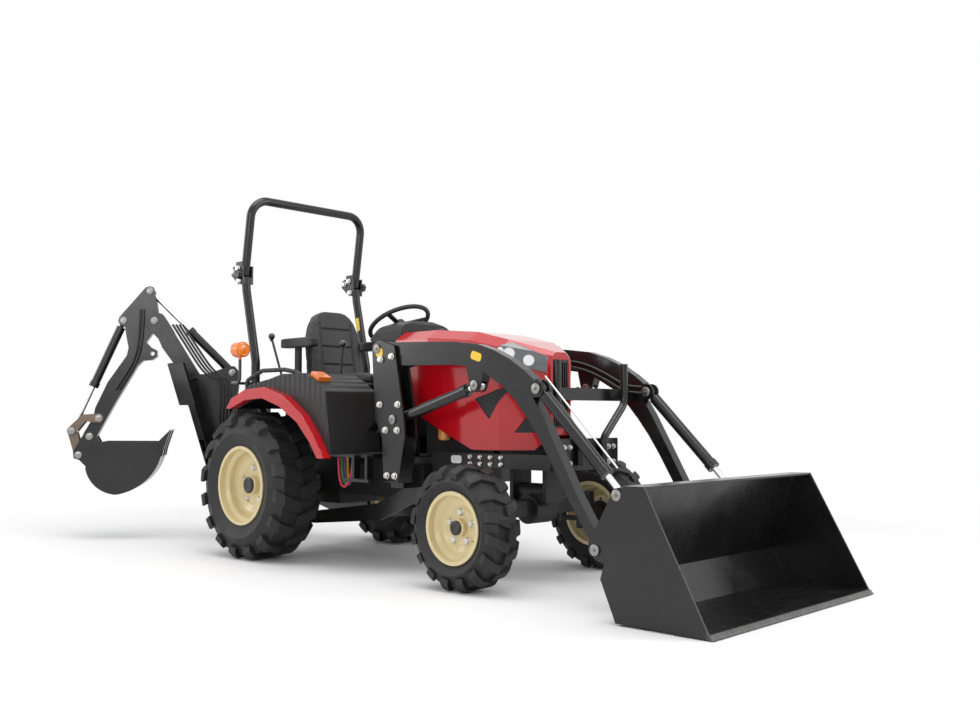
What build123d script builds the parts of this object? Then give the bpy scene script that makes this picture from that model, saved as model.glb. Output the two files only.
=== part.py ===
from build123d import *
from math import asin, atan2, cos, degrees, hypot, pi, radians, sin
import os

# Backhoe loader on a compact tractor: loader in front, backhoe behind.
# Millimetres. Origin on the ground below the middle of the rear axle,
# +X forward, +Y to the machine's left, +Z up.

# ---- Fits and clearances
SEAT_GAP = 0.3          # between a piece and the one that it sits on
SIDE_PLAY = 0.5         # on each side of an eye between its ears
PLATE = 12              # thickness of ears, lugs and brackets

# ---- Axles and wheels
WHEELBASE = 1641
REAR_TYRE_R, REAR_TYRE_W, REAR_BEAD_R, REAR_TRACK_Y = 415, 307, 210, 529.5
FRONT_TYRE_R, FRONT_TYRE_W, FRONT_BEAD_R, FRONT_TRACK_Y = 292, 213, 158, 516.5
REAR_AXLE_Z, FRONT_AXLE_Z = REAR_TYRE_R, FRONT_TYRE_R
RIM_WALL, RIM_INSET, FLANGE_H, FLANGE_T, WELL_DEPTH = 6, 22, 12, 8, 20
BOLT_RING = 0.52        # bolt circle as a share of the well's radius
TYRE_SIDES = 32         # a tyre's sides: one for each lug of its two rows
HUB_R_REAR, HUB_R_FRONT = 52, 40
DISC_INSET_REAR, DISC_INSET_FRONT = 96, 66   # disc face behind the rim's outer edge
AXLE_TUBE_R = 72
KINGPIN_Y = 390
KNUCKLE_R, KNUCKLE_HALF = 48, 72
STEER_ARM, STEER_BALL_Y = 130, 365
TIE_ROD_R = 13
BEAM_HALF_DEPTH, BEAM_TOP_Z, BEAM_BOTTOM_Z = 38, 394, 316

# ---- Tractor body
GEARCASE_HALF_W, ENGINE_HALF_W = 150, 165
FRAME_HALF_W, FRAME_FRONT_X, FRAME_REAR_X = 230, WHEELBASE + 281, 1180
GUARD_X, GUARD_TUBE_R, BUMPER_T, BUMPER_TOP_Z = FRAME_FRONT_X + 70, 19, 52, 700
FRAME_Z0, FRAME_Z1 = 550, 622
DECK_Z, DECK_T = 608, 18
HOOD_WALL = 4
HOOD_REAR_X, HOOD_NOSE_X, HOOD_HINGE_X, HOOD_HINGE_Z = 842, 1800, 850, 1248
HOOD_LOW_Z, NOSE_LOW_Z, HINGE_EYE_R, HINGE_Y, FIREWALL_X, COWL_HALF_W = 640, 722, 7, 156, 824, 185
GRILLE_HALF_W, GRILLE_Z0, GRILLE_Z1, MESH_T = 60, 748, 1085, 3
SEAT_HALF_W, SEAT_Z, BACK_W, BACK_H, BACK_LEAN = 220, 957, 430, 500, 8
WHEEL_CENTRE_X, WHEEL_CENTRE_Z, STEERING_R, STEERING_TUBE_R, COLUMN_LEAN = 600, 1338, 188, 13, 30
FENDER_IN_Y, FENDER_OUT_Y, ARCH_OUT_Y, FENDER_WALL = 300, 640, 688, 12
ROPS_Y, ROPS_TUBE_R, ROPS_POST_X = 427, 26, -205
LAMP_X, LAMP_Y, LAMP_Z, LAMP_R = -107, 600, 1191, 45
ROPS_PIN_X, ROPS_PIN_Z, ROPS_TOP_X, ROPS_TOP_Z = -388, 1685, -262, 2121

# ---- Front loader
ARM_Y, ARM_W = 425, 54
ARM_PIN = (960, 1154)
LIFT_BASE, LIFT_EYE = (1083, 790), (1645, 953)
TILT_BASE, TILT_EYE = (2030, 930), (2480, 480)
BUCKET_PIN = (2365, 245)
CROSS_BEAM_X, CROSS_BEAM_Z, CROSS_BEAM_T, CROSS_BEAM_H = 1920, 913, 30, 60
MAST_OUT_Y = 470
MAST_GAP = 66
BUCKET_W, BUCKET_WALL = 1372, 9
BARREL_R, ROD_R, ROD_PLAY, EYE_R, EYE_W = 28, 15, 0.8, 30, 34
NECK = 46               # from a barrel's base pin to its tube, clear of the ears

# ---- Backhoe, in its own upright plane: s out from the swing axis, z up
SWING_X, SWING_DEG = -1050, 55
BOOM_PIN, DIPPER_PIN = (120, 520), (549, 1444)
BOOM_CYL_BASE, BOOM_CYL_EYE = (140, 402), (290, 880)
DIPPER_CYL_BASE, DIPPER_CYL_EYE = (38, 1100), (582, 1645)
BUCKET_CYL_BASE, ROCKER_TIP = (748, 1443), (1057, 710)
ROCKER_PIN, HOE_BUCKET_PIN, LINK_PIN = (889, 793), (944, 673), (1011, 552)
BOOM_W, DIPPER_W, HOE_BUCKET_W = 104, 76, 305
BOOM_EYE_W, HUMP_SLOT, LINK_GAP = 68, 33, 45
POST_TUBE_R, CHEEK_T = 45, 14
CRANK_R, CRANK_DEG, SWING_EYE_HALF = 105, 120, 14
SWING_BASE_X, SWING_BASE_Y, SWING_BARREL, SWING_ROD = -620, 150, 280, 255
SWING_LEFT_Z, SWING_RIGHT_Z = 344, 390
HOE_FRAME_Z0, HOE_FRAME_Z1, HOE_FRAME_HALF_W, HOE_FRAME_T = 262, 470, 205, 20
POST_Z0, POST_Z1 = HOE_FRAME_Z0 + HOE_FRAME_T + SIDE_PLAY, HOE_FRAME_Z1 - HOE_FRAME_T - SIDE_PLAY

# ---- Stabilisers
STAB_X, STAB_W = -905, 76
STAB_PIN = (250, 430)
STAB_LEG, STAB_REST_DEG, STAB_LUG, STAB_WALL = 613, 71, 140, 11
STAB_CYL_BASE = (95, 860)


# ---------------------------------------------------------------- helpers
def block(xs, ys, zs):
    """Box between the two ends given for each axis."""
    sizes = [abs(b - a) for a, b in (xs, ys, zs)]
    return Pos(*[(a + b) / 2 for a, b in (xs, ys, zs)]) * Box(*sizes)


def bar(start, end, radius):
    """Round bar between two points."""
    a, b = Vector(*start), Vector(*end)
    plane = Plane(origin=(a + b) / 2, z_dir=(b - a).normalized())
    return plane * Cylinder(radius, (b - a).length)


def pin_y(x, z, radius, y0, y1):
    """Round boss or pin along Y."""
    return bar((x, y0, z), (x, y1, z), radius)


def plate_of(face, y0, y1):
    """Flat plate of an XZ sketch between two Y values."""
    plane = Plane(origin=(0, max(y0, y1), 0), x_dir=(1, 0, 0), z_dir=(0, -1, 0))
    return plane * extrude(face, abs(y1 - y0))


def plate_xz(points, y0, y1):
    """Flat plate of the given XZ outline between two Y values."""
    return plate_of(make_face(Polyline(*points, close=True)), y0, y1)


def plate_xy(points, z0, z1):
    """Flat plate of the given XY outline between two heights."""
    face = make_face(Polyline(*points, close=True))
    return Pos(0, 0, z0) * extrude(face, z1 - z0)


def link_outline(a, b, ra, rb):
    """Outline of two bosses joined by their outer tangents, as a sketch."""
    base, swing = atan2(b[1] - a[1], b[0] - a[0]), pi / 2 + asin((rb - ra) / span(a, b))
    corners = []
    for (cx, cz), r, side in ((a, ra, 1), (b, rb, 1), (b, rb, -1), (a, ra, -1)):
        angle = base + side * swing
        corners.append((cx + r * cos(angle), cz + r * sin(angle)))
    sketch = make_face(Polyline(*corners, close=True))
    return sketch + Pos(*a) * Circle(ra) + Pos(*b) * Circle(rb)


def link_xz(a, b, ra, rb, y0, y1):
    """Link plate between two bosses of an XZ plane."""
    return plate_of(link_outline(a, b, ra, rb), y0, y1)


def tube(points, radius, bend):
    """Round tube, bent at each corner of its path."""
    path = FilletPolyline(*points, radius=bend) if len(points) > 2 else Line(*points)
    start = Plane(origin=path @ 0, z_dir=path % 0)
    return sweep(start * Circle(radius), path=path)


def both_sides(part):
    """A piece and its mirror image across the machine's centre plane."""
    return [part, mirror(part, about=Plane.XZ)]


def join(pieces):
    """One body from pieces that touch."""
    whole = pieces[0]
    for piece in pieces[1:]:
        whole = whole + piece
    return whole


def along(a, b, distance):
    """Point of the line from a to b, at a distance from a."""
    d = hypot(b[0] - a[0], b[1] - a[1])
    return (a[0] + (b[0] - a[0]) * distance / d, a[1] + (b[1] - a[1]) * distance / d)


def flat_to_y(point, y):
    """XZ point set at a Y value."""
    return (point[0], y, point[1])


def barrel_xz(base, eye, length, y, base_w):
    """Hydraulic barrel of an XZ plane: base eye, neck, tube bored for its rod, and gland."""
    def at(distance):
        return flat_to_y(along(base, eye, distance), y)

    body = bar(at(NECK), at(length), BARREL_R) + bar(at(length - 34), at(length), BARREL_R + 4)
    body += bar(at(EYE_R * 0.6), at(NECK + 6), ROD_R) + pin_y(*base, EYE_R, y - base_w / 2, y + base_w / 2)
    return body - bar(at(NECK + 14), at(length + 1), ROD_R + ROD_PLAY)


def rod_xz(base, eye, rod_length, y, eye_w):
    """Hydraulic rod of an XZ plane: it starts inside its barrel and ends in an eye."""
    full = span(base, eye)
    a, b = along(base, eye, full - rod_length), along(base, eye, full - EYE_R * 0.6)
    return bar(flat_to_y(a, y), flat_to_y(b, y), ROD_R) + pin_y(*eye, EYE_R, y - eye_w / 2, y + eye_w / 2)


def span(a, b):
    return hypot(b[0] - a[0], b[1] - a[1])


def backhoe(part):
    """From the backhoe's own plane to where the boom is swung."""
    return Pos(SWING_X, 0, 0) * Rot(0, 0, 180 + SWING_DEG) * part


# ---------------------------------------------------------------- wheels
def turned(points):
    """Ring about the Y axis, from an outline of (radius, y) points."""
    return revolve(make_face(Polyline(*points, close=True)), Axis.Y)


def mirrored_outline(right):
    """Outline closed by its own mirror image in y."""
    return right + [(r, -y) for r, y in reversed(right)]


def faceted(rings):
    """Body about the Y axis from (radius, y) rings, each a regular polygon with two sides for each pair of lugs."""
    turns = [2 * pi * i / TYRE_SIDES for i in range(TYRE_SIDES)]
    loops = [[(r * cos(a), y, r * sin(a)) for a in turns] for r, y in rings]
    faces = [Face(Wire.make_polygon(loop)) for loop in (loops[0], loops[-1])]
    for near, far in zip(loops, loops[1:]):
        for i in range(TYRE_SIDES):
            j = (i + 1) % TYRE_SIDES
            faces.append(Face(Wire.make_polygon([near[i], near[j], far[j], far[i]])))
    return Solid(Shell(faces))


def tyre(radius, width, bead_r, lug_h, lug_w, lean):
    """Tyre about the Y axis: carcass with bulged walls, and two staggered rows of slanted lugs."""
    half, wall_r, root = width / 2, bead_r + 0.42 * (radius - bead_r), radius - lug_h
    bead_half, hole_r = half - RIM_INSET - FLANGE_T - SEAT_GAP, (bead_r + SEAT_GAP) / cos(pi / TYRE_SIDES)
    right = [(bead_r + FLANGE_H + 6, bead_half), (wall_r, half), (root, half - 46)]
    carcass = faceted([(r, -y) for r, y in right] + [(r, y) for r, y in reversed(right)])
    carcass -= faceted([(hole_r, -half), (hole_r, half)])
    envelope = faceted([(radius, 0), (radius, half - 40), (radius - 34, half - 3)])
    footprint = [(-lean / 2 - lug_w / 2, half), (lean / 2 - lug_w / 2, -4), (lean / 2 + lug_w / 2, -4), (lug_w / 2 - lean / 2, half)]
    inner = min(footprint[1][1], 0)
    lug = plate_xy(footprint, root - 46, radius + 5) & (envelope + faceted([(radius, inner), (radius, 0)]))
    other = Rot(0, 360 / TYRE_SIDES, 0) * mirror(lug, about=Plane.XZ)
    turns = [Rot(0, 720 * i / TYRE_SIDES, 0) for i in range(TYRE_SIDES // 2)]
    return carcass.fuse(*[turn * piece for turn in turns for piece in (lug, other)])


def rim(bead_r, width, inset, hub_r, out):
    """Dished rim about the Y axis: stepped well with rolled flanges, disc and hub. out is +1 on the left."""
    half, well, seat = width / 2 - RIM_INSET, bead_r - WELL_DEPTH, half_seat(width)
    outer = [(bead_r + FLANGE_H, half), (bead_r + FLANGE_H, half - FLANGE_T), (bead_r, half - FLANGE_T), (bead_r, seat),
             (well, seat - 18), (well, -seat + 18), (bead_r, -seat), (bead_r, -half + FLANGE_T),
             (bead_r + FLANGE_H, -half + FLANGE_T), (bead_r + FLANGE_H, -half)]
    t = RIM_WALL
    inner = [(bead_r - t, -half), (bead_r - t, -seat + 2), (well - t, -seat + 20), (well - t, seat - 20), (bead_r - t, seat - 2),
             (bead_r - t, half)]
    barrel = turned(outer + inner)
    face = half - inset
    disc = turned([(0, face), (0.62 * well, face), (0.80 * well, face + 14), (well - 1, face + 14), (well - 1, face + 4),
                   (0.84 * well, face + 4), (0.66 * well, face - 10), (0, face - 10)])
    whole = barrel + disc + turned([(0, face - 1), (hub_r, face - 1), (hub_r, face + 26), (hub_r - 8, face + 34), (0, face + 34)])
    for i in range(5):
        a = radians(72 * i + 18)
        whole -= bar((BOLT_RING * well * cos(a), face - 11, BOLT_RING * well * sin(a)),
                     (BOLT_RING * well * cos(a), face + 1, BOLT_RING * well * sin(a)), 8)
    return whole if out > 0 else mirror(whole, about=Plane.XZ)


def half_seat(width):
    """Half the distance between the inner ends of a rim's bead seats."""
    return width / 2 - RIM_INSET - FLANGE_T - 24


WHEELS = (  # end, axle x, axle z, tyre radius, width, bead radius, |y|, disc inset, hub radius, lug height, width, lean
    ("rear", 0, REAR_AXLE_Z, REAR_TYRE_R, REAR_TYRE_W, REAR_BEAD_R, REAR_TRACK_Y, DISC_INSET_REAR, HUB_R_REAR, 22, 66, 62),
    ("front", WHEELBASE, FRONT_AXLE_Z, FRONT_TYRE_R, FRONT_TYRE_W, FRONT_BEAD_R, FRONT_TRACK_Y, DISC_INSET_FRONT,
     HUB_R_FRONT, 16, 47, 44))


def wheel_pieces():
    """Two rear and two front wheels, tyre and rim apart."""
    pieces = {}
    for end, x, z, r, w, bead, y, inset, hub, lug_h, lug_w, lean in WHEELS:
        rubber = tyre(r, w, bead, lug_h, lug_w, lean)
        for side, sign in (("left", 1), ("right", -1)):
            place = Pos(x, sign * y, z)
            pieces[f"tyre_{end}_{side}"] = place * rubber
            pieces[f"rim_{end}_{side}"] = place * rim(bead, w, inset, hub, sign)
    return pieces


def disc_back_y(track_y, width, inset):
    """|y| of the inner face of a rim's disc."""
    return track_y + width / 2 - RIM_INSET - inset - 10


# ---------------------------------------------------------------- front axle and steering
def front_axle():
    beam = block((WHEELBASE - BEAM_HALF_DEPTH, WHEELBASE + BEAM_HALF_DEPTH), (-KINGPIN_Y, KINGPIN_Y),
                 (BEAM_BOTTOM_Z + 56, BEAM_TOP_Z))
    beam += block((WHEELBASE - BEAM_HALF_DEPTH, WHEELBASE + BEAM_HALF_DEPTH), (-300, 300),
                  (BEAM_BOTTOM_Z, BEAM_TOP_Z))
    beam += Pos(WHEELBASE, 0, 345) * Rot(90, 0, 0) * Cylinder(72, 150)
    beam += bar((WHEELBASE - 97 + SEAT_GAP, 0, 430), (WHEELBASE + 97 - SEAT_GAP, 0, 430), 42)
    beam += block((WHEELBASE - 60, WHEELBASE + 60), (-40, 40), (BEAM_TOP_Z - 5, 430))
    for sign in (1, -1):
        beam += bar((WHEELBASE, sign * KINGPIN_Y, BEAM_BOTTOM_Z + 56), (WHEELBASE, sign * KINGPIN_Y, 412), 46)
    return beam


def knuckle(sign):
    """Swivel case round the kingpin, spindle to the wheel, and steering arm."""
    y = sign * KINGPIN_Y
    case = bar((WHEELBASE, y, FRONT_AXLE_Z - KNUCKLE_HALF), (WHEELBASE, y, BEAM_BOTTOM_Z + 56 - SIDE_PLAY), KNUCKLE_R)
    face = disc_back_y(FRONT_TRACK_Y, FRONT_TYRE_W, DISC_INSET_FRONT) - SEAT_GAP
    spindle = bar((WHEELBASE, y, FRONT_AXLE_Z), (WHEELBASE, sign * (face - 14), FRONT_AXLE_Z), 40)
    flange = bar((WHEELBASE, sign * (face - 16), FRONT_AXLE_Z), (WHEELBASE, sign * face, FRONT_AXLE_Z), 62)
    arm = tube([(WHEELBASE, y, 268), (WHEELBASE - STEER_ARM, sign * STEER_BALL_Y, 268)], 14, 1)
    boss = bar((WHEELBASE - STEER_ARM, sign * STEER_BALL_Y, 250),
               (WHEELBASE - STEER_ARM, sign * STEER_BALL_Y, 286 - SIDE_PLAY), 18)
    return join([case, spindle, flange, arm, boss])


def tie_rod():
    x, z = WHEELBASE - STEER_ARM, 304
    whole = bar((x, -STEER_BALL_Y, z), (x, STEER_BALL_Y, z), TIE_ROD_R)
    for sign in (1, -1):
        whole += bar((x, sign * STEER_BALL_Y, 286), (x, sign * STEER_BALL_Y, 322), 19)
    return whole


# ---------------------------------------------------------------- tractor body
def chassis():
    """Transaxle and gear case, engine's lower half, axle tubes and front frame, bolted as one backbone."""
    rear = block((-240, 260), (-GEARCASE_HALF_W, GEARCASE_HALF_W), (300, 640))
    mid = block((255, 1000), (-GEARCASE_HALF_W + 10, GEARCASE_HALF_W - 10), (360, 570))
    pieces = [rear, mid]
    face = disc_back_y(REAR_TRACK_Y, REAR_TYRE_W, DISC_INSET_REAR) - SEAT_GAP
    for sign in (1, -1):
        pieces.append(bar((0, sign * 145, REAR_AXLE_Z), (0, sign * (face - 40), REAR_AXLE_Z), AXLE_TUBE_R))
        pieces.append(bar((0, sign * (face - 60), REAR_AXLE_Z), (0, sign * face, REAR_AXLE_Z), 96))
        rail = block((FRAME_REAR_X - 60, FRAME_FRONT_X), (sign * (FRAME_HALF_W - 22), sign * FRAME_HALF_W),
                     (FRAME_Z0, FRAME_Z1))
        pieces.append(rail)
    pieces.append(block((FRAME_FRONT_X - 24, FRAME_FRONT_X), (-FRAME_HALF_W, FRAME_HALF_W), (FRAME_Z0, FRAME_Z1)))
    pieces.append(block((WHEELBASE - 130, WHEELBASE + 130), (-FRAME_HALF_W, FRAME_HALF_W), (FRAME_Z0, FRAME_Z0 + 26)))
    for x in (WHEELBASE - 120, WHEELBASE + 97):
        pieces.append(block((x, x + 23), (-70, 70), (382, FRAME_Z0 + 10)))
    backbone = join(pieces)
    backbone += block((960, FRAME_REAR_X + 10), (-FRAME_HALF_W, FRAME_HALF_W), (470, FRAME_Z0 + 40))
    for x in (480, 860):
        backbone += block((x, x + 40), (-300, 300), (540, DECK_Z - DECK_T - SEAT_GAP))
    return backbone


def engine():
    """Engine block with its radiator, under the hood."""
    block_part = block((1010, 1500), (-ENGINE_HALF_W, ENGINE_HALF_W), (FRAME_Z0 + 40 + SEAT_GAP, 1010))
    radiator = block((WHEELBASE - 81, WHEELBASE - 1), (-190, 190), (FRAME_Z0 + 26 + SEAT_GAP, 1040))
    duct = block((1495, WHEELBASE - 76), (-150, 150), (660, 900))
    bowl = bar((1184, -ENGINE_HALF_W - 38, 700), (1184, -ENGINE_HALF_W - 38, 780), 32)
    bracket = block((1160, 1208), (-ENGINE_HALF_W - 60, -ENGINE_HALF_W + 5), (770, 800))
    return join([block_part, duct, radiator, bracket, bowl])


def front_guard():
    """Front bumper with two bent guard tubes."""
    whole = block((FRAME_FRONT_X + SEAT_GAP, FRAME_FRONT_X + BUMPER_T), (-FRAME_HALF_W, FRAME_HALF_W), (FRAME_Z0, BUMPER_TOP_Z))
    for sign in (1, -1):
        whole += tube([(GUARD_X, sign * 90, FRAME_Z0 + 25), (GUARD_X, sign * 90, BUMPER_TOP_Z), (GUARD_X, sign * 262, 868),
                       (GUARD_X, sign * 262, 1066)], GUARD_TUBE_R, 70)
    return whole


def hood_section(x, half_w, top, shoulder, bottom):
    """One cross-section of the hood: flat top, sloped shoulders and upright sides."""
    corners = [(half_w, bottom), (half_w, top - 2.1 * shoulder), (half_w - 0.45 * shoulder, top - 0.75 * shoulder),
               (half_w - 1.5 * shoulder, top)]
    face = make_face(Polyline(*corners, *[(-y, z) for y, z in reversed(corners)], close=True))
    return Plane(origin=(x, 0, 0), x_dir=(0, 1, 0), z_dir=(1, 0, 0)) * face


HOOD_SECTIONS = (  # x, half width, top z, shoulder
    (HOOD_REAR_X, 268, 1261, 62), (1100, 268, 1262, 62), (1400, 264, 1236, 60), (1612, 250, 1186, 52),
    (HOOD_NOSE_X, 76, 1122, 26))


def hood_skin(grow, nose_back=0, bottom=560):
    """Solid inside the hood's skin, grown outwards by a distance."""
    sections = [(x, w + grow, t + grow, s) for x, w, t, s in HOOD_SECTIONS]
    last = sections[-1]
    sections[-1] = (last[0] - nose_back, *last[1:])
    return loft([hood_section(x, w, t, s, bottom) for x, w, t, s in sections], ruled=True)


VENTS = (  # outline of each side vent, in XZ
    [(1459, 893), (1664, 955), (1551, 790)],
    [(1748, 872), (1668, 726), (1772, 726), (1786, 800)])


def hood():
    """One-piece hood: a thin shell, open below and behind, with a tapered nose, side vents and two hinge eyes."""
    shell = hood_skin(0) - hood_skin(-HOOD_WALL, HOOD_WALL, 540)
    shell -= plate_xz([(700, 400), (700, 900), (905, 900), (987, 852), (1117, 780), (1441, HOOD_LOW_Z), (1740, HOOD_LOW_Z),
                       (1806, NOSE_LOW_Z), (1900, NOSE_LOW_Z), (1900, 400)], -300, 300)
    for outline in VENTS:
        shell -= plate_xz(outline, -300, 300)
    for sign in (1, -1):
        y0, y1 = sign * HINGE_Y, sign * (HINGE_Y + 8)
        shell += link_xz((HOOD_HINGE_X, HOOD_HINGE_Z), (HOOD_HINGE_X + 38, HOOD_HINGE_Z + 4), HINGE_EYE_R, HINGE_EYE_R, y0, y1)
    return shell - block((HOOD_NOSE_X - 8, HOOD_NOSE_X + 8), (-GRILLE_HALF_W, GRILLE_HALF_W), (GRILLE_Z0, GRILLE_Z1))


def hood_grille():
    """Grille in the nose, a frame filled with upright bars, and the mesh plates behind the side vents."""
    y, z0, z1 = GRILLE_HALF_W - SEAT_GAP, GRILLE_Z0 + SEAT_GAP, GRILLE_Z1 - SEAT_GAP
    x = HOOD_NOSE_X - HOOD_WALL - 7
    frame = block((x, x + 9), (-y, y), (z0, z1)) - block((x - 1, x + 10), (-y + 10, y - 10), (z0 + 12, z1 - 12))
    bars = [block((x + 1, x + 8), (c - 3, c + 3), (z0 + 6, z1 - 6)) for c in range(-40, 41, 16)]
    inside = HOOD_WALL + SEAT_GAP
    mesh = hood_skin(-inside, inside, 540) - hood_skin(-inside - MESH_T, inside + MESH_T, 530)
    meshes = []
    for outline in VENTS:
        grown = offset(make_face(Polyline(*outline, close=True)), 8, kind=Kind.INTERSECTION)
        meshes += both_sides(mesh & plate_of(grown, -300, -GRILLE_HALF_W))
    return [join([frame] + bars)] + meshes


def headlamps():
    """Swept headlamps that follow the tapered sides of the nose."""
    lamp = plate_xz([(1592, 1148), (1640, 1170), (1786, 1100), (1786, 1020), (1720, 1040), (1610, 1100)], -262, -70)
    right = lamp & (hood_skin(7) - hood_skin(SEAT_GAP))
    return both_sides(right)


def deck():
    """Operator's platform with its two steps and the tunnel over the gear case."""
    plate = block((262, 940), (-330, 330), (DECK_Z - DECK_T, DECK_Z)) + block((430, 940), (-480, 480), (DECK_Z - DECK_T, DECK_Z))
    tunnel = block((524, 940), (-GEARCASE_HALF_W - 12, GEARCASE_HALF_W + 12), (DECK_Z - DECK_T, 700))
    whole = plate + tunnel - block((525, 941), (-GEARCASE_HALF_W - 4, GEARCASE_HALF_W + 4), (560, 690))
    for sign in (1, -1):
        whole += block((800, 1000), (sign * 500, sign * 560), (470, 486))
        whole += block((800, 820), (sign * 465, sign * 505), (470, DECK_Z - 5))
        whole += block((905, 925), (sign * 465, sign * 505), (470, DECK_Z - 5))
    return whole


FENDER_INNER_LINE = [(682, 668), (564, 776), (408, 858), (246, 905), (79, 896), (-30, 862), (-72, 848)]


def fenders():
    """Moulded pods over the rear wheels, open towards the tyres, each with a grab rail."""
    foot_z, wall = DECK_Z + SEAT_GAP, FENDER_WALL
    outline = [(-108, 850), (-60, 925), (60, 985), (250, 1012), (366, 1036), (560, 1036), (666, 987), (748, 935),
               (766, 805), (792, foot_z), (730, foot_z)] + FENDER_INNER_LINE
    face = make_face(Polyline(*outline, close=True))
    inset = offset(face, -wall, kind=Kind.INTERSECTION)
    open_down = inset + Pos(-0.6 * wall, -1.6 * wall) * inset
    pod = plate_of(face, FENDER_IN_Y, FENDER_OUT_Y) - plate_of(open_down, FENDER_IN_Y + wall, FENDER_OUT_Y - wall)
    inner = block((-60, 680), (FENDER_IN_Y, FENDER_IN_Y + wall), (645, 870))
    rail = tube([(-30, 600, 932), (-30, 600, 1010), (120, 600, 1062), (330, 600, 1062), (440, 600, 1046), (480, 600, 1028)],
                12, 30)
    return both_sides(pod + inner + rail)


def fender_arches():
    """Red arch along the outer edge of each fender."""
    outline = [(-108, 850), (-60, 905), (78, 955), (263, 966), (442, 917), (613, 812), (714, 704), (798, 590),
               (741, 590)] + FENDER_INNER_LINE
    return both_sides(plate_xz(outline, FENDER_OUT_Y + SEAT_GAP, ARCH_OUT_Y))


def seat_base():
    pedestal = block((90, 520), (-170, 170), (640 + SEAT_GAP, SEAT_Z - 40))
    pan = block((60, 560), (-200, 200), (SEAT_Z - 42, SEAT_Z - SEAT_GAP))
    whole = pedestal + pan
    for sign in (1, -1):
        whole += block((-60, 20), (sign * 196, sign * 236), (SEAT_Z - 42, SEAT_Z - 10))
        whole += block((-60, 80), (sign * 196, sign * 215), (SEAT_Z - 42, SEAT_Z - 10))
        whole += block((-60, -20), (sign * 226, sign * 250), (SEAT_Z - 42, 1225))
        whole += block((-150, 150), (sign * 236, sign * 286), (1220, 1266))
    return whole


def seat_cushion():
    """Seat pad with a rolled front, and a tall backrest with rounded corners, leaning back."""
    pad = block((30, 600), (-SEAT_HALF_W, SEAT_HALF_W), (SEAT_Z, 1060))
    pad = fillet(pad.edges().filter_by(Axis.Z), 60)
    pad = fillet(pad.faces().sort_by(Axis.Z)[-1].edges(), 34)
    foot, top = BACK_W / 2, BACK_W / 2 - 40
    outline = FilletPolyline((-foot, 0), (foot, 0), (foot, 250), (top, BACK_H), (-top, BACK_H), (-foot, 250), radius=90,
                             close=True)
    back = extrude(Plane.YZ * make_face(outline), 105)
    back = fillet(back.edges().group_by(Axis.X)[-1], 30)
    return pad + Pos(-48, 0, SEAT_Z + 14) * Rot(0, -BACK_LEAN, 0) * back


def dash_console():
    """Dash tower with its cowl and steering column."""
    side = plate_xz([(560, 1236), (677, 1338), (800, 1338), (826, 1318), (FIREWALL_X, 1200), (700, 1190),
                     (610, 1200)], -COWL_HALF_W, COWL_HALF_W)
    front = make_face(FilletPolyline((-COWL_HALF_W, 1190), (-COWL_HALF_W, 1300), (-70, 1339), (70, 1339), (COWL_HALF_W, 1300),
                                     (COWL_HALF_W, 1190), radius=40, close=True))
    cowl = side & Plane(origin=(550, 0, 0), x_dir=(0, 1, 0), z_dir=(1, 0, 0)) * extrude(front, 300)
    tower = plate_xz([(700, 1200), (FIREWALL_X, 1200), (FIREWALL_X, 700), (760, 700)], -150, 150)
    firewall = block((FIREWALL_X - 24, FIREWALL_X), (-240, 240), (700, 1210))
    lean = radians(COLUMN_LEAN)
    reach = 42 + SEAT_GAP
    top = (WHEEL_CENTRE_X + reach * sin(lean), 0, WHEEL_CENTRE_Z - reach * cos(lean))
    foot = (WHEEL_CENTRE_X + 240 * sin(lean), 0, WHEEL_CENTRE_Z - 240 * cos(lean))
    whole = cowl + tower + firewall + bar(foot, top, 24)
    for sign in (1, -1):
        y0, y1 = sign * (HINGE_Y - PLATE), sign * (HINGE_Y - SIDE_PLAY)
        whole += link_xz((HOOD_HINGE_X - 21, HOOD_HINGE_Z - 46), (HOOD_HINGE_X, HOOD_HINGE_Z), 10, HINGE_EYE_R, y0, y1)
        whole += block((FIREWALL_X - 10, HOOD_HINGE_X - 21), (y0, y1), (HOOD_HINGE_Z - 60, HOOD_HINGE_Z - 38))
    return whole


def steering_wheel():
    lean = radians(COLUMN_LEAN)
    plane = Plane(origin=(WHEEL_CENTRE_X, 0, WHEEL_CENTRE_Z), x_dir=(0, 1, 0), z_dir=(-sin(lean), 0, cos(lean)))
    ring = Torus(STEERING_R - STEERING_TUBE_R, STEERING_TUBE_R)
    hub = Pos(0, 0, -20) * Cylinder(34, 44)
    whole = ring + hub
    for a in (90, 210, 330):
        spoke = Rot(0, 0, a) * Pos((STEERING_R - STEERING_TUBE_R) / 2, 0, -8) * Box(STEERING_R - 20, 26, 9)
        whole += spoke
    return plane * whole


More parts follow.
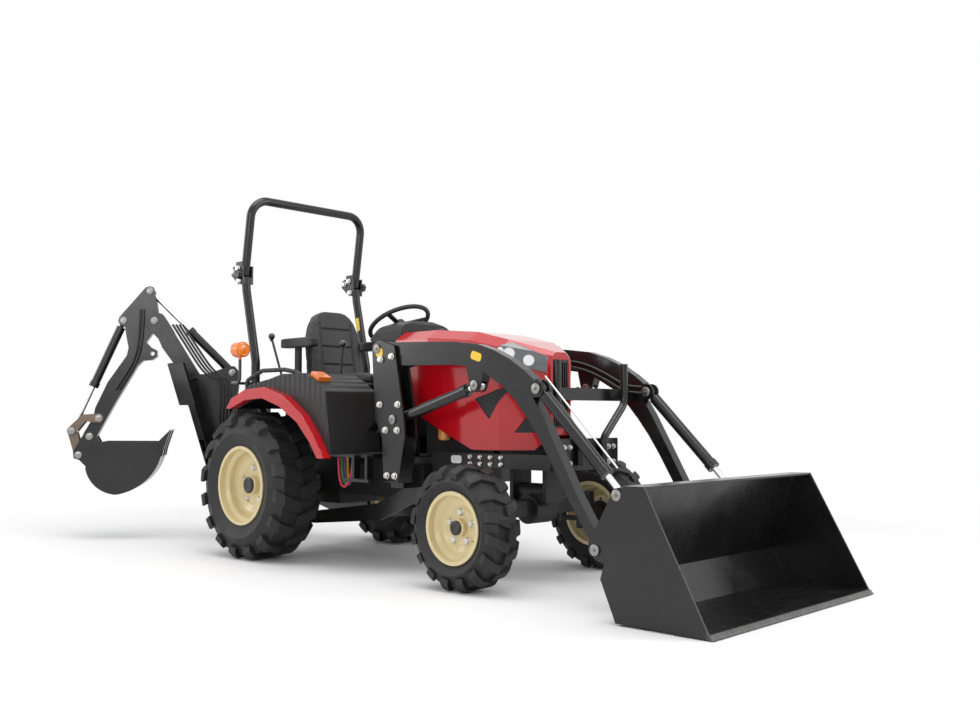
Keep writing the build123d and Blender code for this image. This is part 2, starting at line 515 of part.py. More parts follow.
def rops_lower():
    """Two roll-bar posts bolted to the axle tubes, with the fixed half of each fold hinge."""
    pieces = []
    for sign in (1, -1):
        post = tube([(-120, sign * 338, 510), (ROPS_POST_X, sign * 338, 770), (ROPS_POST_X, sign * ROPS_Y, 960),
                     (ROPS_POST_X, sign * ROPS_Y, 1130), (-312, sign * ROPS_Y, ROPS_PIN_Z - 118),
                     (-322, sign * ROPS_Y, ROPS_PIN_Z - 40)], ROPS_TUBE_R, 70)
        foot_z = REAR_AXLE_Z + AXLE_TUBE_R + SEAT_GAP
        foot = block((-160, 60), (sign * 318, sign * 358), (foot_z, foot_z + 34))
        ear = [(-300, ROPS_PIN_Z - 80), (-300, ROPS_PIN_Z + 32), (ROPS_PIN_X - 10, ROPS_PIN_Z + 32),
               (ROPS_PIN_X - 34, ROPS_PIN_Z + 14), (ROPS_PIN_X - 34, ROPS_PIN_Z - 20), (-345, ROPS_PIN_Z - 80)]
        ears = join([plate_xz(ear, sign * ROPS_Y + y - 5, sign * ROPS_Y + y + 5) for y in (-33, 33)])
        bridge = block((-340, -300), (sign * ROPS_Y - 33, sign * ROPS_Y + 33), (ROPS_PIN_Z - 80, ROPS_PIN_Z - 40))
        pieces.append(post + foot + ears + bridge)
    cross = bar((ROPS_POST_X, -ROPS_Y, 985), (ROPS_POST_X, ROPS_Y, 985), 20)
    return pieces[0] + cross + pieces[1]


def rops_upper():
    """Folding hoop of the roll bar, with its half of the hinges."""
    foot_z = ROPS_PIN_Z - 22
    path = [(-330, -ROPS_Y, foot_z), (ROPS_TOP_X, -ROPS_Y, ROPS_TOP_Z), (ROPS_TOP_X, ROPS_Y, ROPS_TOP_Z), (-330, ROPS_Y, foot_z)]
    hoop = tube(path, ROPS_TUBE_R, 110)
    for sign in (1, -1):
        y0, y1 = sign * ROPS_Y - 28 + SIDE_PLAY, sign * ROPS_Y + 28 - SIDE_PLAY
        hoop += block((ROPS_PIN_X, -322), (y0, y1), (ROPS_PIN_Z - 16, ROPS_PIN_Z + 60))
        hoop += pin_y(ROPS_PIN_X, ROPS_PIN_Z, 26, y0, y1)
    return hoop


def lamps():
    """Four amber lamps: two round ones on stalks from the roll bar, two small ones on the fenders."""
    pieces = []
    for sign in (1, -1):
        head = bar((LAMP_X - 33, sign * LAMP_Y, LAMP_Z), (LAMP_X + 33, sign * LAMP_Y, LAMP_Z), LAMP_R)
        stalk = tube([(ROPS_POST_X, sign * (ROPS_Y + ROPS_TUBE_R + SEAT_GAP), 1000), (ROPS_POST_X, sign * LAMP_Y, 1000),
                      (LAMP_X, sign * LAMP_Y, 1000), (LAMP_X, sign * LAMP_Y, LAMP_Z - 20)], 9, 28)
        pieces.append(head + stalk)
        pieces.append(plate_xz([(590, 1022.6), (660, 990.3), (668, 1012), (598, 1044)], sign * 540, sign * 620))
    return pieces


def control_levers():
    """Levers beside the seat, each on a quadrant bolted to a fender pod."""
    pieces = []
    rows = (  # side, quadrant x, quadrant z, knob x, knob z
        (-1, -55, 885, -240, 1292), (-1, 430, 995, 452, 1215), (1, 410, 995, 425, 1190))
    for sign, x0, z0, x1, z1 in rows:
        y = sign * (FENDER_IN_Y - SEAT_GAP - 8)
        quadrant = block((x0 - 38, x0 + 38), (sign * (FENDER_IN_Y - SEAT_GAP), sign * (FENDER_IN_Y - 12)), (z0 - 34, z0 + 34))
        stem = bar((x0, y, z0), (x1, y, z1 - 12), 7)
        pieces.append(quadrant + stem + Pos(x1, y, z1) * Sphere(19))
    return pieces


# ---------------------------------------------------------------- loader
MAST_OUTLINE = [(918, 1150), (925, 1180), (960, 1198), (1090, 1165), (1165, 795), (1173, 700), (1124, 470), (1014, 470),
                (998, 700), (944, 795)]


def loader_masts():
    """Two masts: an outer and an inner plate each, a foot, and a bracket to the frame."""
    y0, y1 = MAST_OUT_Y - 2 * PLATE - MAST_GAP, MAST_OUT_Y
    outer = plate_xz(MAST_OUTLINE, y1 - PLATE, y1)
    inner = plate_xz(MAST_OUTLINE, y0, y0 + PLATE)
    foot = plate_xz([(998, 700), (1173, 700), (1124, 470), (1014, 470)], y0, y1)
    bracket = block((1014, 1124), (FRAME_HALF_W + SEAT_GAP, y0 + 5), (470, 560))
    return both_sides(join([outer, inner, foot, bracket]))


ARM_OUTLINE = [(960, 1194), (1110, 1183), (1293, 1176), (1509, 1166), (1664, 1147), (1763, 1117), (1860, 1074), (1953, 1018),
               (2022, 966), (2008, 893), (2060, 815), (2150, 660), (2258, 470), (2378, 290), (2405, 245), (2365, 205),
               (2325, 245), (2322, 288), (2190, 476), (2105, 617), (2043, 710), (1980, 791), (1906, 874), (1826, 945),
               (1694, 1016), (1613, 1040), (1510, 1054), (1129, 1063), (960, 1114)]


def loader_arms():
    """Two bent arms joined by a cross tube, with the lugs of their cylinders."""
    y0, y1 = ARM_Y - ARM_W / 2, ARM_Y + ARM_W / 2
    boss = MAST_GAP / 2 - SIDE_PLAY
    arm = plate_xz(ARM_OUTLINE, y0, y1) + pin_y(*ARM_PIN, 40, ARM_Y - boss, ARM_Y + boss)
    arm += pin_y(*BUCKET_PIN, 40, y0, y1)
    arm += pin_y(*TILT_BASE, 40, y0, y1)
    slot = EYE_W / 2 + SIDE_PLAY
    arm -= pin_y(*TILT_BASE, NECK, ARM_Y - slot, ARM_Y + slot)
    lug = link_xz(LIFT_EYE, (1650, 1045), 34, 60, y0, y1)
    lug -= pin_y(*LIFT_EYE, NECK, ARM_Y - slot, ARM_Y + slot)
    arm += lug
    cross = block((CROSS_BEAM_X - CROSS_BEAM_T / 2, CROSS_BEAM_X + CROSS_BEAM_T / 2), (-y0 - 2, y0 + 2),
                  (CROSS_BEAM_Z - CROSS_BEAM_H / 2, CROSS_BEAM_Z + CROSS_BEAM_H / 2))
    return mirror(arm, about=Plane.XZ) + cross + arm


def loader_bucket():
    """Wide bucket: bent wrapper, side plates, cutting edge and the brackets of its pins."""
    half = BUCKET_W / 2
    outline = [(3051, 8), (2632, 8), (2560, 170), (2674, 538), (2768, 539)]
    solid = plate_xz(outline, -half, half)
    inner = [(3052, 8 + BUCKET_WALL), (2638, 8 + BUCKET_WALL), (2560 + BUCKET_WALL + 1, 171), (2681, 538 - BUCKET_WALL),
             (2768, 539 - BUCKET_WALL), (2790, 700), (3300, 700), (3300, 8 + BUCKET_WALL)]
    hollow = plate_xz(inner, -half + BUCKET_WALL, half - BUCKET_WALL)
    shell = solid - hollow
    edge = plate_xz([(3064, 3), (2900, 3), (2900, 12), (3048, 22)], -half, half)
    whole = shell + edge
    gap = ARM_W / 2 + SIDE_PLAY
    bracket = [(2365, 205), (2410, 190), (2575, 120), (2640, 430), (2640, 500), (2500, 515), (2460, 505), (2445, 470), (2330, 270), (2328, 235)]
    for sign in (1, -1):
        for y in (ARM_Y - gap - PLATE, ARM_Y + gap):
            plate = plate_xz(bracket, sign * y, sign * (y + PLATE)) - solid
            whole += plate
    return whole


# ---------------------------------------------------------------- backhoe
def hoe_frame():
    """Main frame of the backhoe: hollow box with the two swing ears, stabiliser plates and tower."""
    top = block((SWING_X, -600), (-60, 60), (HOE_FRAME_Z1 - 20, HOE_FRAME_Z1))
    bottom = block((SWING_X, -600), (-60, 60), (HOE_FRAME_Z0, HOE_FRAME_Z0 + 20))
    whole = top + bottom
    for z in (HOE_FRAME_Z0, HOE_FRAME_Z1 - 20):
        whole += bar((SWING_X, 0, z), (SWING_X, 0, z + 20), 60)
        whole += block((-960, -600), (-HOE_FRAME_HALF_W, HOE_FRAME_HALF_W), (z, z + 20))
    for sign in (1, -1):
        whole += block((-960, -600), (sign * (HOE_FRAME_HALF_W - 15), sign * HOE_FRAME_HALF_W),
                       (HOE_FRAME_Z0, HOE_FRAME_Z1))
    for x in (STAB_X - STAB_W / 2 - SIDE_PLAY - PLATE, STAB_X + STAB_W / 2 + SIDE_PLAY):
        wing = [(-290, 380), (290, 380), (290, 480), (140, 620), (130, 900), (-130, 900), (-140, 620), (-290, 480)]
        plane = Plane(origin=(x, 0, 0), x_dir=(0, 1, 0), z_dir=(1, 0, 0))
        plate = plane * extrude(make_face(Polyline(*wing, close=True)), PLATE)
        whole += plate - block((x - 1, x + PLATE + 1), (-HOE_FRAME_HALF_W + 15, HOE_FRAME_HALF_W - 15),
                               (HOE_FRAME_Z0 + 20, HOE_FRAME_Z1 - 20))
    whole += block((STAB_X - STAB_W / 2 - SIDE_PLAY, STAB_X + STAB_W / 2 + SIDE_PLAY), (-40, 40), (HOE_FRAME_Z1 - 5, 900))
    for sign in (1, -1):
        z = SWING_LEFT_Z if sign > 0 else SWING_RIGHT_Z
        whole += bar((SWING_BASE_X, sign * SWING_BASE_Y, HOE_FRAME_Z0 + 10), (SWING_BASE_X, sign * SWING_BASE_Y, z - 16 - SIDE_PLAY), 18)
        whole += bar((SWING_BASE_X, sign * SWING_BASE_Y, z + 16 + SIDE_PLAY), (SWING_BASE_X, sign * SWING_BASE_Y, HOE_FRAME_Z1 - 10), 18)
    return whole


def subframe():
    """Two rails that tie the backhoe frame to the loader masts under the axle."""
    rail = [(1110, 400), (1110, 466), (1020, 466), (700, 330), (150, 258), (-250, 262), (-560, 330), (-598, 400), (-640, 400),
            (-640, 300), (-560, 262), (-250, 190), (150, 186), (720, 240)]
    side = plate_xz(rail, 222, 246)
    side += block((1014, 1110), (222, MAST_OUT_Y - 2 * PLATE - MAST_GAP - SEAT_GAP + 40), (440, 469 - SEAT_GAP))
    side += block((-660, -600), (HOE_FRAME_HALF_W + SEAT_GAP, 246), (300, 400))
    side += block((-60, 60), (222, 246), (195, REAR_AXLE_Z - AXLE_TUBE_R - SEAT_GAP))
    return both_sides(side)


def swing_post():
    """Swing post: tube on the king pin, two cheeks for the boom, and cranks of the swing cylinders."""
    whole = bar((0, 0, POST_Z0), (0, 0, POST_Z1), POST_TUBE_R)
    cheek = [(20, POST_Z0 + 20), (60, POST_Z0 + 10), (150, 350), (182, 390), (172, 540), (140, 572), (98, 572), (70, 540),
             (66, POST_Z1 - 4), (20, POST_Z1 - 4)]
    y0 = BOOM_W / 2 + SIDE_PLAY
    for sign in (1, -1):
        whole += plate_xz(cheek, sign * y0, sign * (y0 + CHEEK_T))
        whole += block((18, 70), (sign * (POST_TUBE_R - 17), sign * (y0 + CHEEK_T)), (POST_Z0 + 20, POST_Z1 - 4))
    for angle, z in ((-CRANK_DEG, SWING_LEFT_Z), (CRANK_DEG, SWING_RIGHT_Z)):
        a = radians(angle)
        outline = link_outline((0, 0), (CRANK_R * cos(a), CRANK_R * sin(a)), 40, 26)
        for dz in (-SWING_EYE_HALF - SIDE_PLAY - 8, SWING_EYE_HALF + SIDE_PLAY):
            whole += Pos(0, 0, z + dz) * extrude(outline, 8)
    return backhoe(whole)


def crank_pin(side):
    """Where a swing cylinder's rod is pinned, at rest."""
    turn = -CRANK_DEG if side > 0 else CRANK_DEG
    a = radians(180 + SWING_DEG + turn)
    return (SWING_X + CRANK_R * cos(a), CRANK_R * sin(a))


def swing_cylinder(side):
    """Barrel and rod of one swing cylinder, lying flat inside the frame."""
    base, tip = (SWING_BASE_X, side * SWING_BASE_Y), crank_pin(side)
    z = SWING_LEFT_Z if side > 0 else SWING_RIGHT_Z
    length = SWING_BARREL
    barrel = bar((*along(base, tip, 30), z), (*along(base, tip, length), z), 26)
    barrel += bar((*base, z - 16), (*base, z + 16), 26) + bar((*along(base, tip, 10), z), (*along(base, tip, 36), z), 14)
    barrel -= bar((*along(base, tip, 50), z), (*along(base, tip, length + 1), z), 13)
    full = span(base, tip)
    rod = bar((*along(base, tip, full - SWING_ROD), z), (*along(base, tip, full - 15), z), 12)
    rod += bar((*tip, z - SWING_EYE_HALF), (*tip, z + SWING_EYE_HALF), 24)
    return barrel, rod


BOOM_OUTLINE = [(62, 500), (60, 560), (22, 780), (-8, 1000), (-6, 1110), (20, 1142), (52, 1146), (200, 1090), (250, 1088),
                (314, 1191), (469, 1447), (500, 1492), (549, 1502), (598, 1480), (606, 1440), (590, 1395), (520, 1320), (494, 1261),
                (368, 1085), (300, 960), (240, 820), (195, 700), (172, 600), (178, 520), (150, 470), (90, 466)]


def hoe_boom():
    """Boom: box beam with a hump for the dipper cylinder and a fork at the dipper."""
    half = BOOM_W / 2
    beam = plate_xz(BOOM_OUTLINE, -half, half)
    fork = DIPPER_W / 2 + SIDE_PLAY
    beam -= pin_y(*DIPPER_PIN, 150, -fork, fork)
    beam -= block((430, 700), (-fork, fork), (1330, 1560))
    slot = HUMP_SLOT
    beam -= pin_y(*DIPPER_CYL_BASE, NECK, -slot, slot)
    beam -= plate_xz([(10, 1030), (70, 1040), (420, 1390), (330, 1450), (-20, 1150)], -slot, slot)
    eye_gap = BOOM_EYE_W / 2 + SIDE_PLAY
    beam -= plate_xz([(84, 380), (238, 872), (252, 930), (420, 930), (420, 380)], -eye_gap, eye_gap)
    for sign in (1, -1):
        beam += link_xz((270, 900), BOOM_CYL_EYE, 40, 32, sign * eye_gap, sign * half)
    return backhoe(beam)


DIPPER_OUTLINE = [(560, 1670), (582, 1678), (610, 1668), (772, 1468), (782, 1440), (768, 1412), (738, 1404), (726, 1330), (712, 1262),
                  (722, 1210), (840, 1030), (915, 860), (925, 800), (985, 690), (980, 650), (944, 634), (908, 660), (783, 905),
                  (652, 1140), (618, 1176), (560, 1182), (528, 1205), (530, 1246), (566, 1264), (600, 1300), (540, 1390),
                  (508, 1440), (530, 1520), (548, 1640)]


def hoe_dipper():
    """Dipper stick: forked head round the rod's eye, slot for the bucket cylinder, and a spare hole."""
    half = DIPPER_W / 2
    stick = plate_xz(DIPPER_OUTLINE, -half, half)
    slot = EYE_W / 2 + SIDE_PLAY
    stick -= plate_xz([(480, 1500), (570, 1520), (640, 1600), (640, 1700), (440, 1700)], -slot, slot)
    wide = BARREL_R + 5
    stick -= pin_y(*BUCKET_CYL_BASE, EYE_R + 8, -slot, slot)
    stick -= plate_xz([(752, 1412), (728, 1404), (716, 1330), (742, 1230), (860, 1230), (860, 1412)], -wide, wide)
    stick -= pin_y(559, 1224, 14, -half - 1, half + 1)
    return backhoe(stick)


def hoe_bucket():
    """Digging bucket: curved wrapper, side plates, ears and three teeth."""
    half, wall = HOE_BUCKET_W / 2, 9
    edge = [Line((506, 637), (478, 556)), ThreePointArc((478, 556), (574, 384), (760, 295)),
            ThreePointArc((760, 295), (880, 345), (950, 470)), Line((950, 470), (905, 600)), Line((905, 600), (859, 640)),
            Line((859, 640), (506, 637))]
    plane = Plane(origin=(0, half, 0), x_dir=(1, 0, 0), z_dir=(0, -1, 0))
    solid = plane * extrude(make_face(Wire(edge)), 2 * half)
    inside = [Line((516, 700), (488, 556)), ThreePointArc((488, 556), (581, 392), (759, 304)),
              ThreePointArc((759, 304), (872, 352), (940, 470)), Line((940, 470), (897, 596)), Line((897, 596), (850, 634)),
              Line((850, 634), (850, 700)), Line((850, 700), (516, 700))]
    hollow_plane = Plane(origin=(0, half - wall, 0), x_dir=(1, 0, 0), z_dir=(0, -1, 0))
    hollow = hollow_plane * extrude(make_face(Wire(inside)), 2 * (half - wall))
    whole = solid - hollow
    gap = DIPPER_W / 2 + SIDE_PLAY
    ear = [(944, 712), (975, 700), (1045, 575), (1040, 530), (1005, 518), (940, 450), (890, 520), (880, 640), (908, 690)]
    for sign in (1, -1):
        plate = plate_xz(ear, sign * gap, sign * (gap + 14)) - solid
        whole += plate
    for y in (-half + 24, 0, half - 24):
        whole += plate_xz([(424, 719), (500, 640), (520, 560), (474, 540), (462, 600)], y - 18, y + 18) - hollow
    return backhoe(whole)


def hoe_rocker():
    """Two bent guide bars from the dipper to the bucket cylinder's eye, one on each side."""
    gap, knee = DIPPER_W / 2 + SIDE_PLAY, (985, 795)
    bars = []
    for sign in (1, -1):
        y0, y1 = sign * gap, sign * (gap + PLATE)
        bars.append(backhoe(link_xz(ROCKER_PIN, knee, 30, 22, y0, y1) + link_xz(knee, ROCKER_TIP, 22, 28, y0, y1)))
    return bars


def hoe_link():
    """Link from the bucket cylinder's eye to the bucket."""
    plates = []
    for sign in (1, -1):
        plates.append(link_xz(ROCKER_TIP, LINK_PIN, 28, 28, sign * LINK_GAP / 2, sign * DIPPER_W / 2))
    tie = pin_y(*along(ROCKER_TIP, LINK_PIN, 86), 12, -LINK_GAP / 2 - 1, LINK_GAP / 2 + 1)
    return backhoe(plates[0] + plates[1] + tie)


HOE_CYLINDERS = {  # base, eye, length of barrel, length of rod, widths of base and eye
    "boom": (BOOM_CYL_BASE, BOOM_CYL_EYE, 270, 245, BOOM_W, BOOM_EYE_W),
    "dipper": (DIPPER_CYL_BASE, DIPPER_CYL_EYE, 406, 384, 2 * HUMP_SLOT - 2 * SIDE_PLAY, EYE_W),
    "bucket": (BUCKET_CYL_BASE, ROCKER_TIP, 480, 400, EYE_W, LINK_GAP - 2 * SIDE_PLAY),
}


# ---------------------------------------------------------------- stabilisers
def stab_point(distance, lean=STAB_REST_DEG):
    a = radians(lean)
    return (STAB_PIN[0] + distance * cos(a), STAB_PIN[1] + distance * sin(a))


def plate_yz(points, x0, x1):
    """Flat plate of the given YZ outline between two X values."""
    face = make_face(Polyline(*points, close=True))
    return Plane(origin=(x0, 0, 0), x_dir=(0, 1, 0), z_dir=(1, 0, 0)) * extrude(face, x1 - x0)


def stabiliser(sign):
    """Leg of one stabiliser, folded up, with its pad."""
    x0, x1 = STAB_X - STAB_W / 2, STAB_X + STAB_W / 2
    turn = Pos(0, *STAB_PIN) * Rot(STAB_REST_DEG, 0, 0)
    leg = block((x0, x1), (0, STAB_LEG), (-34, 34)) + bar((x0, 0, 0), (x1, 0, 0), 40)
    leg -= block((x0 + STAB_WALL, x1 - STAB_WALL), (60, STAB_LUG + 110), (-40, 40))
    leg -= block((x0 + STAB_WALL, x1 - STAB_WALL), (-50, 60), (10, 60))
    leg += bar((x0, STAB_LEG, 0), (x1, STAB_LEG, 0), 34)
    pad = block((STAB_X - 95, STAB_X + 95), (STAB_LEG - 120, STAB_LEG + 160), (-62, -46))
    for x in (x0 - 14, x1 + 2):
        pad += block((x, x + 12), (STAB_LEG - 40, STAB_LEG + 40), (-60, 30))
    pad += bar((x0 - 14, STAB_LEG, 0), (x1 + 14, STAB_LEG, 0), 14)
    whole = turn * (leg + pad)
    return whole if sign > 0 else mirror(whole, about=Plane.XZ)


def stab_cylinder(sign):
    base, eye = STAB_CYL_BASE, stab_point(STAB_LUG)
    full = span(base, eye)
    length, inside = 316, 280

    def at(distance):
        p = along(base, eye, distance)
        return (STAB_X, sign * p[0], p[1])

    def eye_boss(point, half_w):
        return bar((STAB_X - half_w, sign * point[0], point[1]), (STAB_X + half_w, sign * point[0], point[1]), 24)

    barrel = bar(at(14), at(length), 25) + eye_boss(base, STAB_W / 2) - bar(at(44), at(length + 1), 14)
    rod = bar(at(full - inside), at(full - 12), 13) + eye_boss(eye, STAB_W / 2 - STAB_WALL - SIDE_PLAY)
    return barrel, rod


# ---------------------------------------------------------------- assembly
def loader_cylinders():
    """Lift and tilt cylinders, both sides."""
    rows = (  # name, base, eye, barrel length, rod length, widths of base and eye
        ("lift", LIFT_BASE, LIFT_EYE, 515, 480, MAST_GAP - 2 * SIDE_PLAY, EYE_W),
        ("tilt", TILT_BASE, TILT_EYE, 525, 500, EYE_W, ARM_W))
    pieces = {}
    for name, base, eye, barrel_length, rod_length, base_w, eye_w in rows:
        barrel = barrel_xz(base, eye, barrel_length, ARM_Y, base_w)
        rod = rod_xz(base, eye, rod_length, ARM_Y, eye_w)
        pieces[f"{name}_barrels"] = both_sides(barrel)
        pieces[f"{name}_rods"] = both_sides(rod)
    return pieces


def build():
    """Every piece by its node's name."""
    pieces = wheel_pieces()
    for side, sign in (("left", 1), ("right", -1)):
        pieces[f"knuckle_{side}"] = knuckle(sign)
        pieces[f"stabiliser_{side}"] = stabiliser(sign)
        pieces[f"stab_barrel_{side}"], pieces[f"stab_rod_{side}"] = stab_cylinder(sign)
        pieces[f"swing_barrel_{side}"], pieces[f"swing_rod_{side}"] = swing_cylinder(sign)
    for name, (base, eye, barrel_length, rod_length, base_w, eye_w) in HOE_CYLINDERS.items():
        pieces[f"hoe_{name}_barrel"] = backhoe(barrel_xz(base, eye, barrel_length, 0, base_w))
        pieces[f"hoe_{name}_rod"] = backhoe(rod_xz(base, eye, rod_length, 0, eye_w))
    pieces.update(loader_cylinders())
    for make in (front_axle, tie_rod, chassis, engine, front_guard, hood, hood_grille, headlamps, deck, fenders,
                 fender_arches, seat_base, seat_cushion, dash_console, steering_wheel, rops_lower, rops_upper, lamps,
                 control_levers, loader_masts, loader_arms, loader_bucket, hoe_frame, subframe, swing_post, hoe_boom,
                 hoe_dipper, hoe_bucket, hoe_rocker, hoe_link):
        pieces[make.__name__] = make()
    return pieces


def main():
    os.makedirs("parts", exist_ok=True)
    for name, piece in build().items():
        solids = piece if isinstance(piece, list) else [piece]
        export_step(Compound(children=[s for part in solids for s in part.solids()]), f"parts/{name}.step")


if __name__ == "__main__":
    main()
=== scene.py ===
import bpy
import math
from mathutils import Matrix, Vector


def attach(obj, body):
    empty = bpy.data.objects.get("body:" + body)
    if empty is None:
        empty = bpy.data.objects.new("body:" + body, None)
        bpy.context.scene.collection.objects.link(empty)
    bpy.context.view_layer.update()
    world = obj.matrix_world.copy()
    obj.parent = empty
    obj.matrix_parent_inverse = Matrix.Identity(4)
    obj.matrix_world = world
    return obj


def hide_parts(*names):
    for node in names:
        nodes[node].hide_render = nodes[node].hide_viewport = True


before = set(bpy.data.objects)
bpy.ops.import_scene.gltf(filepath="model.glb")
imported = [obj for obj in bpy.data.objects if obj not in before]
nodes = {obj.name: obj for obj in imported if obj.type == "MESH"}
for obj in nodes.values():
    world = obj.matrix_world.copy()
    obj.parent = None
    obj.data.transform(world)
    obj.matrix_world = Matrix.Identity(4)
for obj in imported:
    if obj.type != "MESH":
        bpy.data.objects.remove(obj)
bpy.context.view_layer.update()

# ---- Studio ----
# A seamless white floor in a white room. Large soft lamps overhead and at the sides give the
# long streaks that gloss paint and bent plate show.
WHITE = (1, 1, 1, 1)
ROOM_GLOW, SEEN_GLOW = 0.62, 1.0  # what lights the machine, and what is seen behind it
FLOOR_SIZE, FLOOR_Z = 160, -0.0005
FADE_START, FADE_END = 2.7, 4.6  # distances at which the shaded floor turns to plain white
CAMERA_PLACE, CAMERA_TILT, CAMERA_HEADING = (5.0656, -3.9632, 0.8101), 93.2, 43.4  # degrees
FOCAL_LENGTH, SENSOR_WIDTH = 38.1, 36  # millimetres
LAMPS = (  # place, aim, size and power in watts
    ((1.5, -1.0, 5.6), (1.2, 0, 0.5), (6.5, 3.0), 190),
    ((5.5, 2.6, 3.2), (1.5, 0, 0.7), (1.6, 3.6), 70),
    ((-4.4, -4.2, 3.0), (0.0, 0, 0.6), (1.8, 3.2), 60),
    ((3.2, -5.6, 2.4), (1.2, 0, 0.6), (3.6, 1.6), 60))
bpy.context.scene.view_settings.view_transform = "Standard"
bpy.ops.object.select_all(action="DESELECT")
bpy.ops.object.camera_add(location=CAMERA_PLACE, rotation=(
    math.radians(CAMERA_TILT), 0, math.radians(CAMERA_HEADING)))
camera = bpy.context.object
camera.data.lens, camera.data.sensor_width = FOCAL_LENGTH, SENSOR_WIDTH
bpy.context.scene.camera = camera

world = bpy.data.worlds.new("white_room")
bpy.context.scene.world = world
world.use_nodes = True
sky = world.node_tree
ray, plain, seen, both, pick = (sky.nodes.new(k) for k in (
    "ShaderNodeLightPath", "ShaderNodeBackground", "ShaderNodeMath", "ShaderNodeMath",
    "ShaderNodeMixShader"))
lit = sky.nodes["Background"]
plain.inputs["Color"].default_value, plain.inputs["Strength"].default_value = WHITE, SEEN_GLOW
lit.inputs["Color"].default_value, lit.inputs["Strength"].default_value = WHITE, ROOM_GLOW
seen.operation, seen.use_clamp = "ADD", True
both.operation, both.use_clamp = "ADD", True
link = sky.links.new
link(ray.outputs["Is Camera Ray"], seen.inputs[0])
link(ray.outputs["Is Transmission Ray"], seen.inputs[1])
link(seen.outputs["Value"], both.inputs[0])
link(ray.outputs["Is Glossy Ray"], both.inputs[1])
link(both.outputs["Value"], pick.inputs["Fac"])
link(lit.outputs["Background"], pick.inputs[1])
link(plain.outputs["Background"], pick.inputs[2])
link(pick.outputs["Shader"], sky.nodes["World Output"].inputs["Surface"])

bpy.ops.mesh.primitive_plane_add(size=FLOOR_SIZE, location=(0.6, 0, FLOOR_Z))
floor = bpy.context.object
floor.name = "studio_floor"
pale = bpy.data.materials.new("pale_floor")
pale.use_nodes = True
tree = pale.node_tree
shade = tree.nodes["Principled BSDF"]
shade.inputs["Base Color"].default_value = (0.93, 0.93, 0.935, 1)
shade.inputs["Roughness"].default_value = 0.6
shade.inputs["Specular IOR Level"].default_value = 0.2
spot, reach, fade, glow, blend = (tree.nodes.new(k) for k in (
    "ShaderNodeTexCoord", "ShaderNodeVectorMath", "ShaderNodeMapRange", "ShaderNodeEmission",
    "ShaderNodeMixShader"))
reach.operation = "LENGTH"
fade.interpolation_type = "SMOOTHSTEP"
fade.inputs["From Min"].default_value, fade.inputs["From Max"].default_value = FADE_START, FADE_END
glow.inputs["Strength"].default_value = 1.0
tree.links.new(spot.outputs["Object"], reach.inputs[0])
tree.links.new(reach.outputs["Value"], fade.inputs["Value"])
tree.links.new(fade.outputs["Result"], blend.inputs["Fac"])
tree.links.new(shade.outputs["BSDF"], blend.inputs[1])
tree.links.new(glow.outputs["Emission"], blend.inputs[2])
tree.links.new(blend.outputs["Shader"], tree.nodes["Material Output"].inputs["Surface"])
floor.data.materials.append(pale)

for place, aim, size, power in LAMPS:
    bpy.ops.object.light_add(type="AREA", location=place)
    lamp = bpy.context.object
    lamp.data.shape, lamp.data.size, lamp.data.size_y = "RECTANGLE", *size
    lamp.data.energy = power
    lamp.rotation_euler = (Vector(aim) - Vector(place)).to_track_quat("-Z", "Y").to_euler()

# ---- Castings of the chassis, axles and engine ----
# Rough black-painted iron: gear case, axle tubes, front frame, knuckles and engine block, with
# road dust on what faces up.
surface = bpy.data.node_groups.new("surface_life", "ShaderNodeTree")
for label, kind, value in (
        ("Colour", "NodeSocketColor", (0.5, 0.5, 0.5, 1)),
        ("Dust Colour", "NodeSocketColor", (0.3, 0.28, 0.25, 1)),
        ("Dust", "NodeSocketFloat", 0.0), ("Roughness", "NodeSocketFloat", 0.5),
        ("Roughness Spread", "NodeSocketFloat", 0.1), ("Cloud Scale", "NodeSocketFloat", 6.0),
        ("Grain Scale", "NodeSocketFloat", 400.0), ("Grain Height", "NodeSocketFloat", 0.1),
        ("Edge Radius", "NodeSocketFloat", 0.002)):
    socket = surface.interface.new_socket(label, in_out="INPUT", socket_type=kind)
    socket.default_value = value
for label, kind in (
        ("Colour", "NodeSocketColor"), ("Roughness", "NodeSocketFloat"),
        ("Normal", "NodeSocketVector")):
    surface.interface.new_socket(label, in_out="OUTPUT", socket_type=kind)
add = surface.nodes.new
outer, inner = add("NodeGroupInput"), add("NodeGroupOutput")
spot, cloud, grain = add("ShaderNodeTexCoord"), add("ShaderNodeTexNoise"), add("ShaderNodeTexNoise")
up, facing, settle_on, tint = (add(k) for k in (
    "ShaderNodeNewGeometry", "ShaderNodeSeparateXYZ", "ShaderNodeMath", "ShaderNodeMix"))
rub, soft, dent = add("ShaderNodeMapRange"), add("ShaderNodeBevel"), add("ShaderNodeBump")
amount, clamp = add("ShaderNodeMath"), add("ShaderNodeMapRange")
low, high = add("ShaderNodeMath"), add("ShaderNodeMath")
cloud.inputs["Detail"].default_value, grain.inputs["Detail"].default_value = 5, 2
cloud.inputs["Roughness"].default_value = 0.62
soft.samples = 4
tint.data_type = "RGBA"
low.operation, high.operation = "SUBTRACT", "ADD"
amount.operation, settle_on.operation = "MULTIPLY", "MULTIPLY"
clamp.inputs["From Min"].default_value, clamp.inputs["From Max"].default_value = -0.2, 0.9
clamp.inputs["To Min"].default_value, clamp.inputs["To Max"].default_value = 0.15, 1.0
rub.inputs["From Min"].default_value, rub.inputs["From Max"].default_value = 0.3, 0.7
dent.inputs["Distance"].default_value = 0.0006
join = surface.links.new
join(spot.outputs["Object"], cloud.inputs["Vector"])
join(spot.outputs["Object"], grain.inputs["Vector"])
join(outer.outputs["Cloud Scale"], cloud.inputs["Scale"])
join(outer.outputs["Grain Scale"], grain.inputs["Scale"])
join(up.outputs["Normal"], facing.inputs["Vector"])
join(facing.outputs["Z"], clamp.inputs["Value"])
